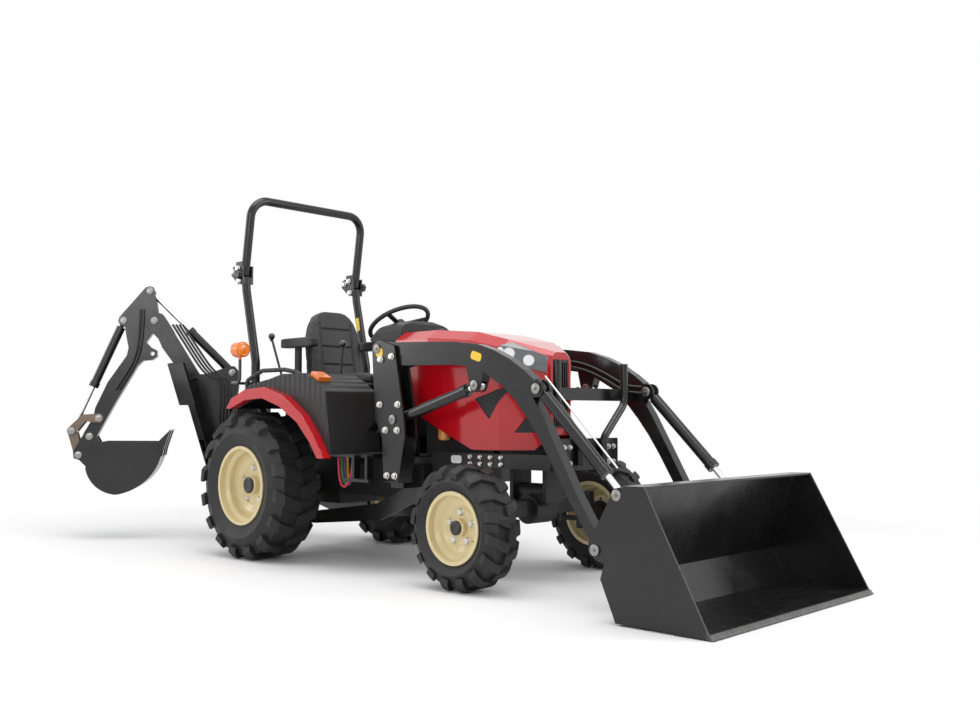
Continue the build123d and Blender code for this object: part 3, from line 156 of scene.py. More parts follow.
join(clamp.outputs["Result"], settle_on.inputs[0])
join(cloud.outputs["Fac"], settle_on.inputs[1])
join(settle_on.outputs["Value"], amount.inputs[0])
join(outer.outputs["Dust"], amount.inputs[1])
join(amount.outputs["Value"], tint.inputs["Factor"])
join(outer.outputs["Colour"], tint.inputs["A"])
join(outer.outputs["Dust Colour"], tint.inputs["B"])
join(tint.outputs["Result"], inner.inputs["Colour"])
join(outer.outputs["Roughness"], low.inputs[0])
join(outer.outputs["Roughness Spread"], low.inputs[1])
join(outer.outputs["Roughness"], high.inputs[0])
join(outer.outputs["Roughness Spread"], high.inputs[1])
join(cloud.outputs["Fac"], rub.inputs["Value"])
join(low.outputs["Value"], rub.inputs["To Min"])
join(high.outputs["Value"], rub.inputs["To Max"])
join(rub.outputs["Result"], inner.inputs["Roughness"])
join(outer.outputs["Edge Radius"], soft.inputs["Radius"])
join(soft.outputs["Normal"], dent.inputs["Normal"])
join(grain.outputs["Fac"], dent.inputs["Height"])
join(outer.outputs["Grain Height"], dent.inputs["Strength"])
join(dent.outputs["Normal"], inner.inputs["Normal"])


def finish(name, colour, roughness, dust=0.0, dust_colour=(0.30, 0.28, 0.25), spread=0.06,
           cloud_scale=6.0, grain_scale=400.0, grain_height=0.1, edge=0.002, metallic=0.0,
           coat=0.0, coat_roughness=0.05, specular=0.5):
    """Material of one finish: a Principled shader fed by the shared surface group."""
    material = bpy.data.materials.new(name)
    material.use_nodes = True
    shader = material.node_tree.nodes["Principled BSDF"]
    life = material.node_tree.nodes.new("ShaderNodeGroup")
    life.name, life.node_tree = "life", surface
    for label, value in (
            ("Colour", (*colour, 1)), ("Dust Colour", (*dust_colour, 1)), ("Dust", dust),
            ("Roughness", roughness), ("Roughness Spread", spread), ("Cloud Scale", cloud_scale),
            ("Grain Scale", grain_scale), ("Grain Height", grain_height), ("Edge Radius", edge)):
        life.inputs[label].default_value = value
    link = material.node_tree.links.new
    link(life.outputs["Colour"], shader.inputs["Base Color"])
    link(life.outputs["Roughness"], shader.inputs["Roughness"])
    link(life.outputs["Normal"], shader.inputs["Normal"])
    shader.inputs["Metallic"].default_value = metallic
    shader.inputs["Coat Weight"].default_value = coat
    shader.inputs["Coat Roughness"].default_value = coat_roughness
    shader.inputs["Specular IOR Level"].default_value = specular
    return material


def dress(material, *names):
    """Gives CAD nodes their finish."""
    for name in names:
        for slot in nodes[name].material_slots:
            slot.material = material


casting = finish("cast_iron_paint", (0.014, 0.014, 0.015), 0.46, dust=0.10, spread=0.10,
                 grain_scale=160, grain_height=0.5, edge=0.004, specular=0.4)
dress(casting, "chassis", "engine", "front_axle", "knuckle_left", "knuckle_right")

# ---- Bolts of the front frame ----
# Zinc-plated hexagon bolts with pressed flanges: two rows of four in each frame rail and eight
# in each mast.
QUARTER = math.pi / 2
FRAME_BOLT, MAST_BOLT, WHEEL_BOLT = (0.019, 0.012), (0.027, 0.017), (0.026, 0.016)  # across, height
RAIL_SIDE, MAST_SIDE = 0.2302, 0.4702  # outer faces, from the middle of the machine
zinc = finish("zinc_plate", (0.62, 0.61, 0.57), 0.30, dust=0.05, spread=0.08, grain_scale=500,
              grain_height=0.05, edge=0.0008, metallic=1.0)


def alone(piece):
    """Makes a piece the only one selected, and the active one."""
    if bpy.context.object and bpy.context.object.mode != "OBJECT":
        bpy.ops.object.mode_set(mode="OBJECT")
    bpy.ops.object.select_all(action="DESELECT")
    piece.select_set(True)
    bpy.context.view_layer.objects.active = piece


def pick_faces(piece, test):
    """In edit mode, selects the faces whose centre and normal pass a test."""
    alone(piece)
    bpy.ops.object.mode_set(mode="EDIT")
    bpy.ops.mesh.select_mode(type="FACE")
    bpy.ops.mesh.select_all(action="DESELECT")
    bpy.ops.object.mode_set(mode="OBJECT")
    for face in piece.data.polygons:
        face.select = test(face.center, face.normal)
    bpy.ops.object.mode_set(mode="EDIT")


def faces_up(centre, normal):
    """True for a face that looks up."""
    return normal.z > 0.9


def shaped(piece, test, *steps):
    """Insets, moves or draws out, step by step, the faces that pass a test."""
    pick_faces(piece, test)
    for tool, value in steps:
        if tool == "inset":
            bpy.ops.mesh.inset(thickness=value)
        elif tool == "move":
            bpy.ops.transform.translate(value=value)
        else:
            bpy.ops.mesh.extrude_region_move(TRANSFORM_OT_translate={"value": value})
    bpy.ops.object.mode_set(mode="OBJECT")


def drum(radius, depth, spot, vertices=32, turn=(0, 0, 0), scale=(1, 1, 1)):
    """A round blank with its place laid into its mesh."""
    bpy.ops.object.select_all(action="DESELECT")
    bpy.ops.mesh.primitive_cylinder_add(vertices=vertices, radius=radius, depth=depth,
                                        location=spot, rotation=turn, scale=scale)
    bpy.ops.object.transform_apply(location=True, rotation=True, scale=True)
    return bpy.context.object


def block(spot, size, cuts):
    """A box with its place laid into its mesh, cut evenly across each side."""
    bpy.ops.object.select_all(action="DESELECT")
    bpy.ops.mesh.primitive_cube_add(size=1, location=spot, scale=size)
    bpy.ops.object.transform_apply(location=True, scale=True)
    bpy.ops.object.mode_set(mode="EDIT")
    bpy.ops.mesh.select_all(action="SELECT")
    bpy.ops.mesh.subdivide(number_cuts=cuts)
    bpy.ops.object.mode_set(mode="OBJECT")
    return bpy.context.object


def modified(piece, kind, **settings):
    """Adds one modifier with its settings and applies it."""
    alone(piece)
    change = piece.modifiers.new(kind.lower(), kind)
    for key, value in settings.items():
        setattr(change, key, value)
    bpy.ops.object.modifier_apply(modifier=change.name)


def fit(piece, name, material, body, smooth=35):
    """Lays a finished piece's place into its mesh, dresses it and sets it on its body."""
    alone(piece)
    bpy.ops.object.transform_apply(location=True, rotation=True, scale=True)
    bpy.ops.object.shade_smooth_by_angle(angle=math.radians(smooth))
    piece.name = piece.data.name = name
    piece.data.materials.clear()
    piece.data.materials.append(material)
    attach(piece, body)


def merged(pieces):
    """Several meshes as one."""
    alone(pieces[0])
    for piece in pieces:
        piece.select_set(True)
    bpy.ops.object.join()
    return bpy.context.object


def set_out(model, places):
    """Copies of one modelled piece, each turned from upright to its own axis, as one mesh."""
    made = []
    for spot, axis in places:
        twin = model.copy()
        twin.data = model.data.copy()
        bpy.context.collection.objects.link(twin)
        turn = Vector((0, 0, 1)).rotation_difference(Vector(axis)).to_matrix().to_4x4()
        twin.data.transform(Matrix.Translation(spot) @ turn)
        made.append(twin)
    return merged(made)


def hex_bolt(across, height):
    """Hexagon head with a chamfered top on a round flange, facing up at the origin."""
    flange = drum(0.68 * across, 0.3 * height, (0, 0, 0.15 * height), vertices=18)
    head = drum(0.577 * across, 0.85 * height, (0, 0, 0.425 * height), vertices=6)
    shaped(head, faces_up, ("inset", 0.07 * across), ("move", (0, 0, 0.15 * height)))
    shaped(flange, faces_up, ("inset", 0.08 * across), ("move", (0, 0, 0.1 * height)))
    return merged([head, flange])


def discard(*models):
    """Takes away the pieces that only served as models."""
    for model in models:
        bpy.data.objects.remove(model)


small_bolt, large_bolt = hex_bolt(*FRAME_BOLT), hex_bolt(*MAST_BOLT)
rail = [((x, side * RAIL_SIDE, z), (0, side, 0)) for side in (-1, 1)
        for x in (1.40, 1.47, 1.54, 1.61) for z in (0.570, 0.604)]
fit(set_out(small_bolt, rail), "frame_bolts", zinc, "machine")
mast = [((x, side * MAST_SIDE, z), (0, side, 0)) for side in (-1, 1)
        for x, z in ((0.99, 1.098), (1.075, 1.110), (0.985, 0.865), (1.125, 0.865),
                     (1.030, 0.735), (1.120, 0.735), (1.045, 0.505), (1.105, 0.505))]
fit(set_out(large_bolt, mast), "mast_bolts", zinc, "machine")

# ---- Fuel filter ----
# An amber bowl of fuel under a die-cast grey head, on the engine's side.
FILTER_X, FILTER_Y = 1.184, -0.203
amber_bowl = finish("amber_bowl", (0.75, 0.27, 0.05), 0.12, spread=0.04, grain_scale=60,
                    grain_height=0.1, edge=0.001, coat=1.0)
bowl = drum(0.0335, 0.074, (FILTER_X, FILTER_Y, 0.729))
shaped(bowl, lambda c, n: n.z < -0.9, ("inset", 0.009), ("move", (0, 0, -0.010)))
fit(bowl, "fuel_bowl", amber_bowl, "machine")
grey_cast = finish("die_cast_grey", (0.36, 0.36, 0.37), 0.42, dust=0.1, grain_scale=300,
                   grain_height=0.4, edge=0.002, metallic=0.6)
cap = drum(0.037, 0.022, (FILTER_X, FILTER_Y, 0.7765))
shaped(cap, faces_up, ("inset", 0.012), ("draw", (0, 0, 0.016)))
fit(cap, "fuel_bowl_head", grey_cast, "machine")

# ---- Tyres ----
# Industrial tractor tyres with slanted lugs, moulded in carbon-black rubber that has gone dull
# and a little dusty.
rubber = finish("tyre_rubber", (0.016, 0.016, 0.017), 0.60, dust=0.20,
                dust_colour=(0.08, 0.077, 0.073), spread=0.10, cloud_scale=9, grain_scale=700,
                grain_height=0.25, edge=0.003, specular=0.4)
dress(rubber, "tyre_rear_left", "tyre_rear_right", "tyre_front_left", "tyre_front_right")

# ---- Wheel rims ----
# Pressed steel, sprayed pale cream, with a rolled edge, a stepped well and a dished disc. Each
# is held by five bolts in a ring round a black hub cap, and has a rubber valve stem.
WHEELS = (  # end, axle's X and Z, track, disc's offset, radius of the bolt ring and of the hub
    ("rear", 0, 0.415, 0.5295, 0.0355, 0.0988, 0.052),
    ("front", 1.641, 0.292, 0.5165, 0.0185, 0.0718, 0.040))
cream = finish("cream_enamel", (0.66, 0.55, 0.30), 0.34, dust=0.10, spread=0.05, grain_scale=260,
               grain_height=0.05, edge=0.002, coat=0.3)
dress(cream, "rim_rear_left", "rim_rear_right", "rim_front_left", "rim_front_right")
wheel_bolt = hex_bolt(*WHEEL_BOLT)
black_cap = finish("hub_cap_black", (0.012, 0.012, 0.013), 0.30, dust=0.08, grain_scale=300,
                   grain_height=0.1, edge=0.003)
turns = [math.radians(72 * i + 18) for i in range(5)]
for end, x, z, track, disc, ring, hub in WHEELS:
    for side, sign in (("left", 1), ("right", -1)):
        body = f"wheel_{end}_{side}"
        y = sign * (track + disc)
        spots = [((x + ring * math.cos(a), y - sign * 0.001, z + ring * math.sin(a)),
                  (0, sign, 0)) for a in turns]
        fit(set_out(wheel_bolt, spots), f"wheel_bolts_{end}_{side}", zinc, body)
        cap = drum(hub - 0.006, 0.008, (x, y + sign * 0.037, z), vertices=40,
                   turn=(-sign * QUARTER, 0, 0))
        shaped(cap, lambda c, n: n.y * sign > 0.9,
               ("inset", 0.010), ("move", (0, sign * 0.005, 0)),
               ("inset", 0.012), ("move", (0, -sign * 0.003, 0)))
        fit(cap, f"hub_cap_{end}_{side}", black_cap, body)
        bpy.ops.mesh.primitive_cone_add(
            vertices=16, radius1=0.006, radius2=0.004, depth=0.034,
            location=(x + 1.55 * ring, y + sign * 0.018, z - 0.75 * ring),
            rotation=(-sign * QUARTER, 0, 0))
        fit(bpy.context.object, f"valve_{end}_{side}", rubber, body)
discard(wheel_bolt)

# ---- Welded steelwork ----
# Loader, backhoe, frames, roll bar and guards: plate and tube in gloss black powder coat.
black_gloss = finish("black_powder_coat", (0.0065, 0.0065, 0.007), 0.24, dust=0.015, spread=0.06,
                     grain_scale=220, grain_height=0.05, edge=0.003, coat=0.12,
                     coat_roughness=0.10, specular=0.42)
dress(black_gloss, "front_guard", "rops_lower", "rops_upper", "loader_masts", "loader_arms",
      "lift_barrels", "tilt_barrels", "hoe_frame", "subframe", "swing_post", "swing_barrel_left",
      "swing_barrel_right", "hoe_boom", "hoe_boom_barrel", "hoe_dipper", "hoe_dipper_barrel",
      "hoe_bucket_barrel", "stabiliser_left", "stabiliser_right", "stab_barrel_left",
      "stab_barrel_right", "deck", "tie_rod")

# ---- Front guard's bolts and blank plate ----
# The bumper is bolted to the front frame, which carries a small bare white plate on its side.
# Bare yellow labels sit on a mast, on a loader arm and on a post of the roll bar.
PLATE_THICK, BUMPER_FACE = 0.0012, 1.9745
front_row = [((BUMPER_FACE, y, z), (1, 0, 0)) for y in (-0.19, -0.15, 0.15, 0.19)
             for z in (0.585, 0.66)]
fit(set_out(small_bolt, front_row), "bumper_bolts", zinc, "machine")
white_plate = finish("bare_white_plate", (0.72, 0.72, 0.70), 0.35, dust=0.08, grain_scale=300,
                     grain_height=0.05, edge=0.0006, coat=0.3)


def label_plate(name, spot, wide, high, lean, material, body):
    """Thin plate with rounded corners, standing on a flat side of the machine."""
    bpy.ops.object.select_all(action="DESELECT")
    bpy.ops.mesh.primitive_cube_add(size=1, location=spot, rotation=(0, math.radians(lean), 0),
                                    scale=(wide, PLATE_THICK, high))
    plate = bpy.context.object
    bpy.ops.object.transform_apply(location=False, rotation=False, scale=True)
    weights = plate.data.attributes.new("bevel_weight_edge", "FLOAT", "EDGE")
    for edge in plate.data.edges:
        a, b = (plate.data.vertices[i].co for i in edge.vertices)
        across_plate = abs((a - b).y) > 0.5 * PLATE_THICK
        weights.data[edge.index].value = 1.0 if across_plate else 0.0
    modified(plate, "BEVEL", width=0.35 * min(wide, high), segments=4, limit_method="WEIGHT")
    fit(plate, name, material, body)


label_plate("frame_plate", (1.30, -0.2308, 0.588), 0.075, 0.040, 0, white_plate, "machine")
yellow = finish("bare_yellow_label", (0.80, 0.52, 0.02), 0.40, dust=0.05, grain_scale=300,
                grain_height=0.05, edge=0.0006, coat=0.3)
label_plate("mast_label", (0.975, -0.4708, 1.135), 0.052, 0.046, 0, yellow, "machine")
label_plate("arm_label", (1.655, -0.4528, 1.090), 0.070, 0.040, 18, yellow, "loader_arms")
label_plate("post_label", (-0.262, 0.3995, 1.41), 0.030, 0.090, -11, yellow, "machine")

# ---- Operator's platform ----
# Folded black plate with a ribbed rubber mat on each side and three rubber-faced pedals.
MAT_LONG, MAT_WIDE, MAT_X, MAT_Y, MAT_Z = 0.40, 0.29, 0.722, 0.322, 0.6095
RIB_PITCH, RIB_HEIGHT = 0.01667, 0.004
PEDAL_SIZE, PEDAL_LEAN, STEM_LEAN = (0.085, 0.055, 0.016), math.radians(-38), math.radians(30)
mat = finish("ribbed_mat", (0.020, 0.020, 0.021), 0.62, dust=0.30, grain_scale=200,
             grain_height=0.9, edge=0.003)
for side, sign in (("left", 1), ("right", -1)):
    bpy.ops.object.select_all(action="DESELECT")
    bpy.ops.mesh.primitive_grid_add(x_subdivisions=24, y_subdivisions=2, size=1,
                                    location=(MAT_X, sign * MAT_Y, MAT_Z))
    sheet = bpy.context.object
    sheet.scale = (MAT_LONG, MAT_WIDE, 1)
    bpy.ops.object.transform_apply(location=True, scale=True)
    shaped(sheet, lambda c, n: int((c.x + 5) / RIB_PITCH) % 2 == 0, ("draw", (0, 0, RIB_HEIGHT)))
    fit(sheet, f"platform_mat_{side}", mat, "machine")
for name, x, y, z in (("brake_pedal", 0.765, -0.225, 0.735), ("drive_pedal", 0.775, -0.290, 0.715),
                      ("clutch_pedal", 0.765, 0.225, 0.735)):
    bpy.ops.object.select_all(action="DESELECT")
    bpy.ops.mesh.primitive_cube_add(size=1, location=(x, y, z), scale=PEDAL_SIZE,
                                    rotation=(0, PEDAL_LEAN, 0))
    pad = bpy.context.object
    shaped(pad, faces_up, ("inset", 0.12))
    bpy.ops.mesh.primitive_cylinder_add(vertices=16, radius=0.007, depth=0.15,
                                        location=(x + 0.035, y, z + 0.055),
                                        rotation=(0, STEM_LEAN, 0))
    fit(merged([pad, bpy.context.object]), name, mat, "machine")

# ---- Fender pods ----
# Blow-moulded black plastic with a leathery grain and soft upright ribs, over the rear wheels.
# The seat's base, the levers, the steering wheel and the dash are moulded in it too.
plastic = finish("moulded_black", (0.018, 0.018, 0.019), 0.50, dust=0.10,
                 dust_colour=(0.12, 0.117, 0.113), spread=0.06, grain_scale=900,
                 grain_height=0.35, edge=0.006, specular=0.4)
dress(plastic, "seat_base", "control_levers", "steering_wheel", "dash_console")
ribbed = finish("ribbed_pod", (0.018, 0.018, 0.019), 0.46, dust=0.08,
                dust_colour=(0.12, 0.117, 0.113), spread=0.06, grain_scale=900,
                grain_height=0.35, edge=0.008, specular=0.4)
tree = ribbed.node_tree
spot, wave, swell = (tree.nodes.new(k) for k in (
    "ShaderNodeTexCoord", "ShaderNodeTexWave", "ShaderNodeBump"))
wave.bands_direction, wave.wave_profile = "X", "SIN"
wave.inputs["Scale"].default_value = 7.0
swell.inputs["Strength"].default_value, swell.inputs["Distance"].default_value = 0.7, 0.006
tree.links.new(spot.outputs["Object"], wave.inputs["Vector"])
tree.links.new(wave.outputs["Fac"], swell.inputs["Height"])
tree.links.new(tree.nodes["life"].outputs["Normal"], swell.inputs["Normal"])
tree.links.new(swell.outputs["Normal"], tree.nodes["Principled BSDF"].inputs["Normal"])
dress(ribbed, "fenders")

# ---- Dash and steering wheel ----
# Rounded cowl with a dark glass instrument panel, and a wheel with a raised horn cap.
PANEL_LEAN, WHEEL_LEAN = math.radians(41), math.radians(30)
WHEEL_X, WHEEL_Z = 0.6, 1.338
glass = finish("dark_glass", (0.006, 0.007, 0.009), 0.08, spread=0.03, grain_scale=50,
               grain_height=0.02, edge=0.001, coat=1.0)
panel = drum(0.105, 0.008, (0.630, 0, 1.3015), vertices=48, turn=(0, -PANEL_LEAN, 0),
             scale=(0.52, 1, 1))
shaped(panel, lambda c, n: n.x < -0.5 and n.z > 0.5,
       ("inset", 0.006), ("draw", (0.003, 0, -0.0035)))
fit(panel, "instrument_panel", glass, "machine")
horn = drum(0.029, 0.010, (WHEEL_X - 0.006 * math.sin(WHEEL_LEAN), 0, WHEEL_Z + 0.007),
            turn=(0, -WHEEL_LEAN, 0))
shaped(horn, lambda c, n: n.z > 0.8, ("inset", 0.006), ("move", (-0.002, 0, 0.0035)))
fit(horn, "horn_cap", black_cap, "steering_wheel")

# ---- Seat ----
# Foam pad and tall backrest under grained black vinyl, with sewn channels.
CELL = 0.007  # of the mesh that the foam swells in
SWELL_PRESSURE, SWELL_STEPS, SWELL_LIMIT = 4, 20, 0.010
SEAM_DEPTH, SEAM_WIDTH = 0.0065, 0.006
PAD_SIZE, PAD_PLACE, PAD_HALF = (0.545, 0.410, 0.072), (0.318, 0, 1.006), 0.205
PAD_TOP, PAD_RIM = 1.02, 0.995  # the top seams lie above one height, the rim's seam at the other
REST_SIZE, REST_HIGH, REST_HALF = (0.072, 0.400, 0.470), 0.485, 0.200
REST_FRONT, REST_RIM, REST_LONG_SEAMS_END = 0.01, -0.022, 0.40
REST_PLACE, REST_LEAN = (0.018, 0, 0.972), math.radians(-8)
PAD_CHANNEL, REST_CHANNEL = 0.125, 0.118  # half of the width between the two long seams
PAD_CROSS_SEAMS, REST_CROSS_SEAMS = (0.20, 0.36), (0.14, 0.25, 0.36)
vinyl = finish("seat_vinyl", (0.014, 0.014, 0.0155), 0.42, dust=0.05, spread=0.06,
               grain_scale=1100, grain_height=0.6, edge=0.004, specular=0.45)


def stuffed(piece, seam):
    """Swells a plain form like foam under a tight cover, and sinks its sewn seams."""
    alone(piece)
    bpy.ops.object.transform_apply(location=True, rotation=True, scale=True)
    piece.data.remesh_voxel_size = CELL
    bpy.ops.object.voxel_remesh()
    start = [v.co.copy() for v in piece.data.vertices]
    cloth = piece.modifiers.new("cloth", "CLOTH")
    cloth.settings.use_pressure = True
    cloth.settings.uniform_pressure_force = SWELL_PRESSURE
    cloth.settings.effector_weights.gravity = 0
    for step in range(1, SWELL_STEPS + 1):
        bpy.context.scene.frame_set(step)
    settled = piece.evaluated_get(bpy.context.evaluated_depsgraph_get())
    ends = [v.co.copy() for v in settled.data.vertices]
    piece.modifiers.remove(cloth)
    bpy.context.scene.frame_set(1)
    for vertex, a, b in zip(piece.data.vertices, start, ends):
        move = b - a
        vertex.co = a + move * min(1, SWELL_LIMIT / max(move.length, 1e-6))
    modified(piece, "SMOOTH", iterations=4)
    modified(piece, "SUBSURF", levels=1, render_levels=1)
    normals = [vertex.normal.copy() for vertex in piece.data.vertices]
    for vertex, normal in zip(piece.data.vertices, normals):
        vertex.co -= normal * SEAM_DEPTH * math.exp(-(seam(vertex.co) / SEAM_WIDTH) ** 2)


def pad_seam(p):
    """How far a point of the pad is from its nearest seam."""
    gaps = [abs(p.z - PAD_RIM)]
    if p.z > PAD_TOP:
        gaps.append(abs(abs(p.y) - PAD_CHANNEL))
        if abs(p.y) < PAD_CHANNEL:
            gaps += [abs(p.x - x) for x in PAD_CROSS_SEAMS]
    return min(gaps)


def rest_seam(p):
    """How far a point of the upright backrest is from its nearest seam."""
    gaps = [abs(p.x - REST_RIM)]
    if p.x > REST_FRONT and p.z < REST_LONG_SEAMS_END:
        gaps.append(abs(abs(p.y) - REST_CHANNEL))
    if p.x > REST_FRONT and abs(p.y) < REST_CHANNEL:
        gaps += [abs(p.z - z) for z in REST_CROSS_SEAMS]
    return min(gaps)


pad = block(PAD_PLACE, PAD_SIZE, 7)
for vertex in pad.data.vertices:
    side, front = abs(vertex.co.y) / PAD_HALF, max(0, (vertex.co.x - 0.42) / 0.17)
    if vertex.co.z > 1.0:
        vertex.co.z += 0.012 * side ** 3 - 0.020 * front ** 2
modified(pad, "BEVEL", width=0.022, segments=4, angle_limit=math.radians(60))
stuffed(pad, pad_seam)
fit(pad, "seat_pad", vinyl, "machine", smooth=60)
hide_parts("seat_cushion")

rest = block((0, 0, 0.25), REST_SIZE, 9)
for vertex in rest.data.vertices:
    rise, side = vertex.co.z / REST_HIGH, vertex.co.y / REST_HALF
    narrow = 1 - 0.20 * max(0, (rise - 0.55) / 0.45) ** 2
    vertex.co.z -= 0.075 * side ** 4 * max(0, (rise - 0.5) / 0.5)
    vertex.co.y *= narrow
    bow = 0.012 * side ** 2 * (1 if vertex.co.x > 0 else 0.6)
    vertex.co.x += bow - 0.014 * max(0, rise - 0.5) ** 2
modified(rest, "BEVEL", width=0.020, segments=4, angle_limit=math.radians(60))
stuffed(rest, rest_seam)
rest.rotation_euler, rest.location = (0, REST_LEAN, 0), REST_PLACE
fit(rest, "seat_backrest", vinyl, "machine", smooth=60)

# ---- Armrests ----
# Padded black armrests, rounded over at both ends, over the brackets of the seat's base.
for side, sign in (("left", 1), ("right", -1)):
    arm = block((0.0, sign * 0.261, 1.243), (0.312, 0.062, 0.058), 3)
    modified(arm, "SUBSURF", levels=2, render_levels=2)
    fit(arm, f"armrest_{side}", vinyl, "machine", smooth=70)

# ---- Roll bar hinges ----
# Three bolts through each fold hinge, with a head at both ends, and a black clamping knob
# beside it.
HINGE_Y, HINGE_HALF = 0.427, 0.0382
KNOB_X, KNOB_Y, KNOB_Z = -0.318, 0.480, 1.665
hinge_bolts = [((x, side * HINGE_Y + end * HINGE_HALF, z), (0, end, 0))
               for side in (-1, 1) for end in (-1, 1)
               for x, z in ((-0.388, 1.685), (-0.342, 1.702), (-0.330, 1.625))]
fit(set_out(large_bolt, hinge_bolts), "roll_bar_bolts", zinc, "machine")


def every_other_side(centre, normal):
    """True for each second side face of a twelve-sided knob."""
    turn = math.degrees(math.atan2(centre.z - KNOB_Z, centre.x - KNOB_X))
    return abs(normal.y) < 0.2 and int(turn / 30 + 20) % 2 == 0


for side, sign in (("left", 1), ("right", -1)):
    spot = (KNOB_X, sign * KNOB_Y, KNOB_Z)
    knob = drum(0.023, 0.030, spot, vertices=12, turn=(-sign * QUARTER, 0, 0))
    pick_faces(knob, every_other_side)
    bpy.ops.mesh.extrude_region_move()
    bpy.ops.transform.resize(value=(1.2, 1, 1.2), center_override=spot)
    bpy.ops.object.mode_set(mode="OBJECT")
    modified(knob, "BEVEL", width=0.003, segments=2)
    fit(knob, f"hinge_knob_{side}", black_cap, "machine")

# ---- Lamps ----
# Amber bodies with ringed amber lenses, the round ones on bent black stalks.
LAMP_X, LAMP_Y, LAMP_Z = -0.107, 0.600, 1.191
AMBER_REACH = 0.058  # from a round lamp's middle; beyond it the stalks are black
ROUND_LAMPS_END = 0.3  # in front of this X the small pod lamps are amber all over
LENS_RINGS = ((0.006, 0.003), (0.006, -0.0015), (0.008, 0.003), (0.008, 0.001))  # inset, rise
lamp_paint = finish("lamp_amber_and_black", (0.80, 0.17, 0.015), 0.20, spread=0.04,
                    grain_scale=90, grain_height=0.3, edge=0.003, coat=0.6)


def mirrored_place(tree):
    """Sockets with the X of a point of the machine, and the point itself, folded to the left."""
    spot, apart, fold, folded = (tree.nodes.new(k) for k in (
        "ShaderNodeTexCoord", "ShaderNodeSeparateXYZ", "ShaderNodeMath", "ShaderNodeCombineXYZ"))
    fold.operation = "ABSOLUTE"
    link = tree.links.new
    link(spot.outputs["Object"], apart.inputs["Vector"])
    link(apart.outputs["X"], folded.inputs["X"])
    link(apart.outputs["Y"], fold.inputs[0])
    link(fold.outputs["Value"], folded.inputs["Y"])
    link(apart.outputs["Z"], folded.inputs["Z"])
    return apart.outputs["X"], folded.outputs["Vector"]


tree = lamp_paint.node_tree
along, place = mirrored_place(tree)
away, split, rear, blacken, mix = (tree.nodes.new(k) for k in (
    "ShaderNodeVectorMath", "ShaderNodeMath", "ShaderNodeMath", "ShaderNodeMath",
    "ShaderNodeMix"))
away.operation, away.inputs[1].default_value = "DISTANCE", (LAMP_X, LAMP_Y, LAMP_Z)
split.operation, split.inputs[1].default_value = "GREATER_THAN", AMBER_REACH
rear.operation, rear.inputs[1].default_value = "LESS_THAN", ROUND_LAMPS_END
blacken.operation, mix.data_type = "MULTIPLY", "RGBA"
mix.inputs["B"].default_value = (0.012, 0.012, 0.013, 1)
link = tree.links.new
link(place, away.inputs[0])
link(away.outputs["Value"], split.inputs[0])
link(along, rear.inputs[0])
link(split.outputs["Value"], blacken.inputs[0])
link(rear.outputs["Value"], blacken.inputs[1])
link(blacken.outputs["Value"], mix.inputs["Factor"])
link(tree.nodes["life"].outputs["Colour"], mix.inputs["A"])
link(mix.outputs["Result"], tree.nodes["Principled BSDF"].inputs["Base Color"])
dress(lamp_paint, "lamps")
amber_lens = finish("amber_lens", (0.90, 0.22, 0.02), 0.10, spread=0.03, grain_scale=60,
                    grain_height=0.1, edge=0.001, coat=1.0)
for side, sign in (("left", 1), ("right", -1)):
    for end, facing_x in (("front", 1), ("rear", -1)):
        lens = drum(0.040, 0.006, (LAMP_X + facing_x * 0.0362, sign * LAMP_Y, LAMP_Z),
                    vertices=40, turn=(0, facing_x * QUARTER, 0))
        shaped(lens, lambda c, n: n.x * facing_x > 0.9, *(
            step for inset, rise in LENS_RINGS
            for step in (("inset", inset), ("move", (facing_x * rise, 0, 0)))))
        fit(lens, f"lamp_lens_{side}_{end}", amber_lens, "machine")

# ---- Levers ----
# Round gloss black knobs on the range lever, the loader's joystick and the throttle.
knob_gloss = finish("knob_gloss", (0.012, 0.012, 0.013), 0.16, dust=0.03, grain_scale=200,
                    grain_height=0.05, edge=0.002, coat=0.6)
for name, spot in (
        ("range_knob", (-0.240, -0.2917, 1.292)), ("joystick_knob", (0.452, -0.2917, 1.215)),
        ("throttle_knob", (0.425, 0.2917, 1.190))):
    bpy.ops.object.select_all(action="DESELECT")
    bpy.ops.mesh.primitive_uv_sphere_add(segments=28, ring_count=16, radius=0.0205,
                                         location=spot)
    ball = bpy.context.object
    bpy.ops.object.transform_apply(location=True)
    shaped(ball, lambda c, n: n.z < -0.85, ("draw", (0, 0, -0.010)))
    fit(ball, name, knob_gloss, "machine", smooth=60)
discard(large_bolt, small_bolt)

# ---- Quick-coupler hoses ----
# Short loops of coloured hose under the deck, in front of the right rear wheel.
COUPLER_X, COUPLER_Z = 0.600, 0.585
COUPLER_HOSES = (  # tag, colour, Y, how far the loop hangs and how far its ends are apart
    ("yellow", (0.75, 0.55, 0.03), -0.372, 0.150, 0.060),
    ("violet", (0.25, 0.05, 0.30), -0.392, 0.165, 0.082),
    ("green", (0.02, 0.30, 0.07), -0.412, 0.160, 0.100),
    ("crimson", (0.50, 0.02, 0.06), -0.432, 0.175, 0.120))
THIN_HOSE, THICK_HOSE = 0.0075, 0.008  # radii
hose_rubber = finish("hose_rubber", (0.010, 0.010, 0.011), 0.40, dust=0.05, grain_scale=1500,
                     grain_height=0.3, edge=0.001)


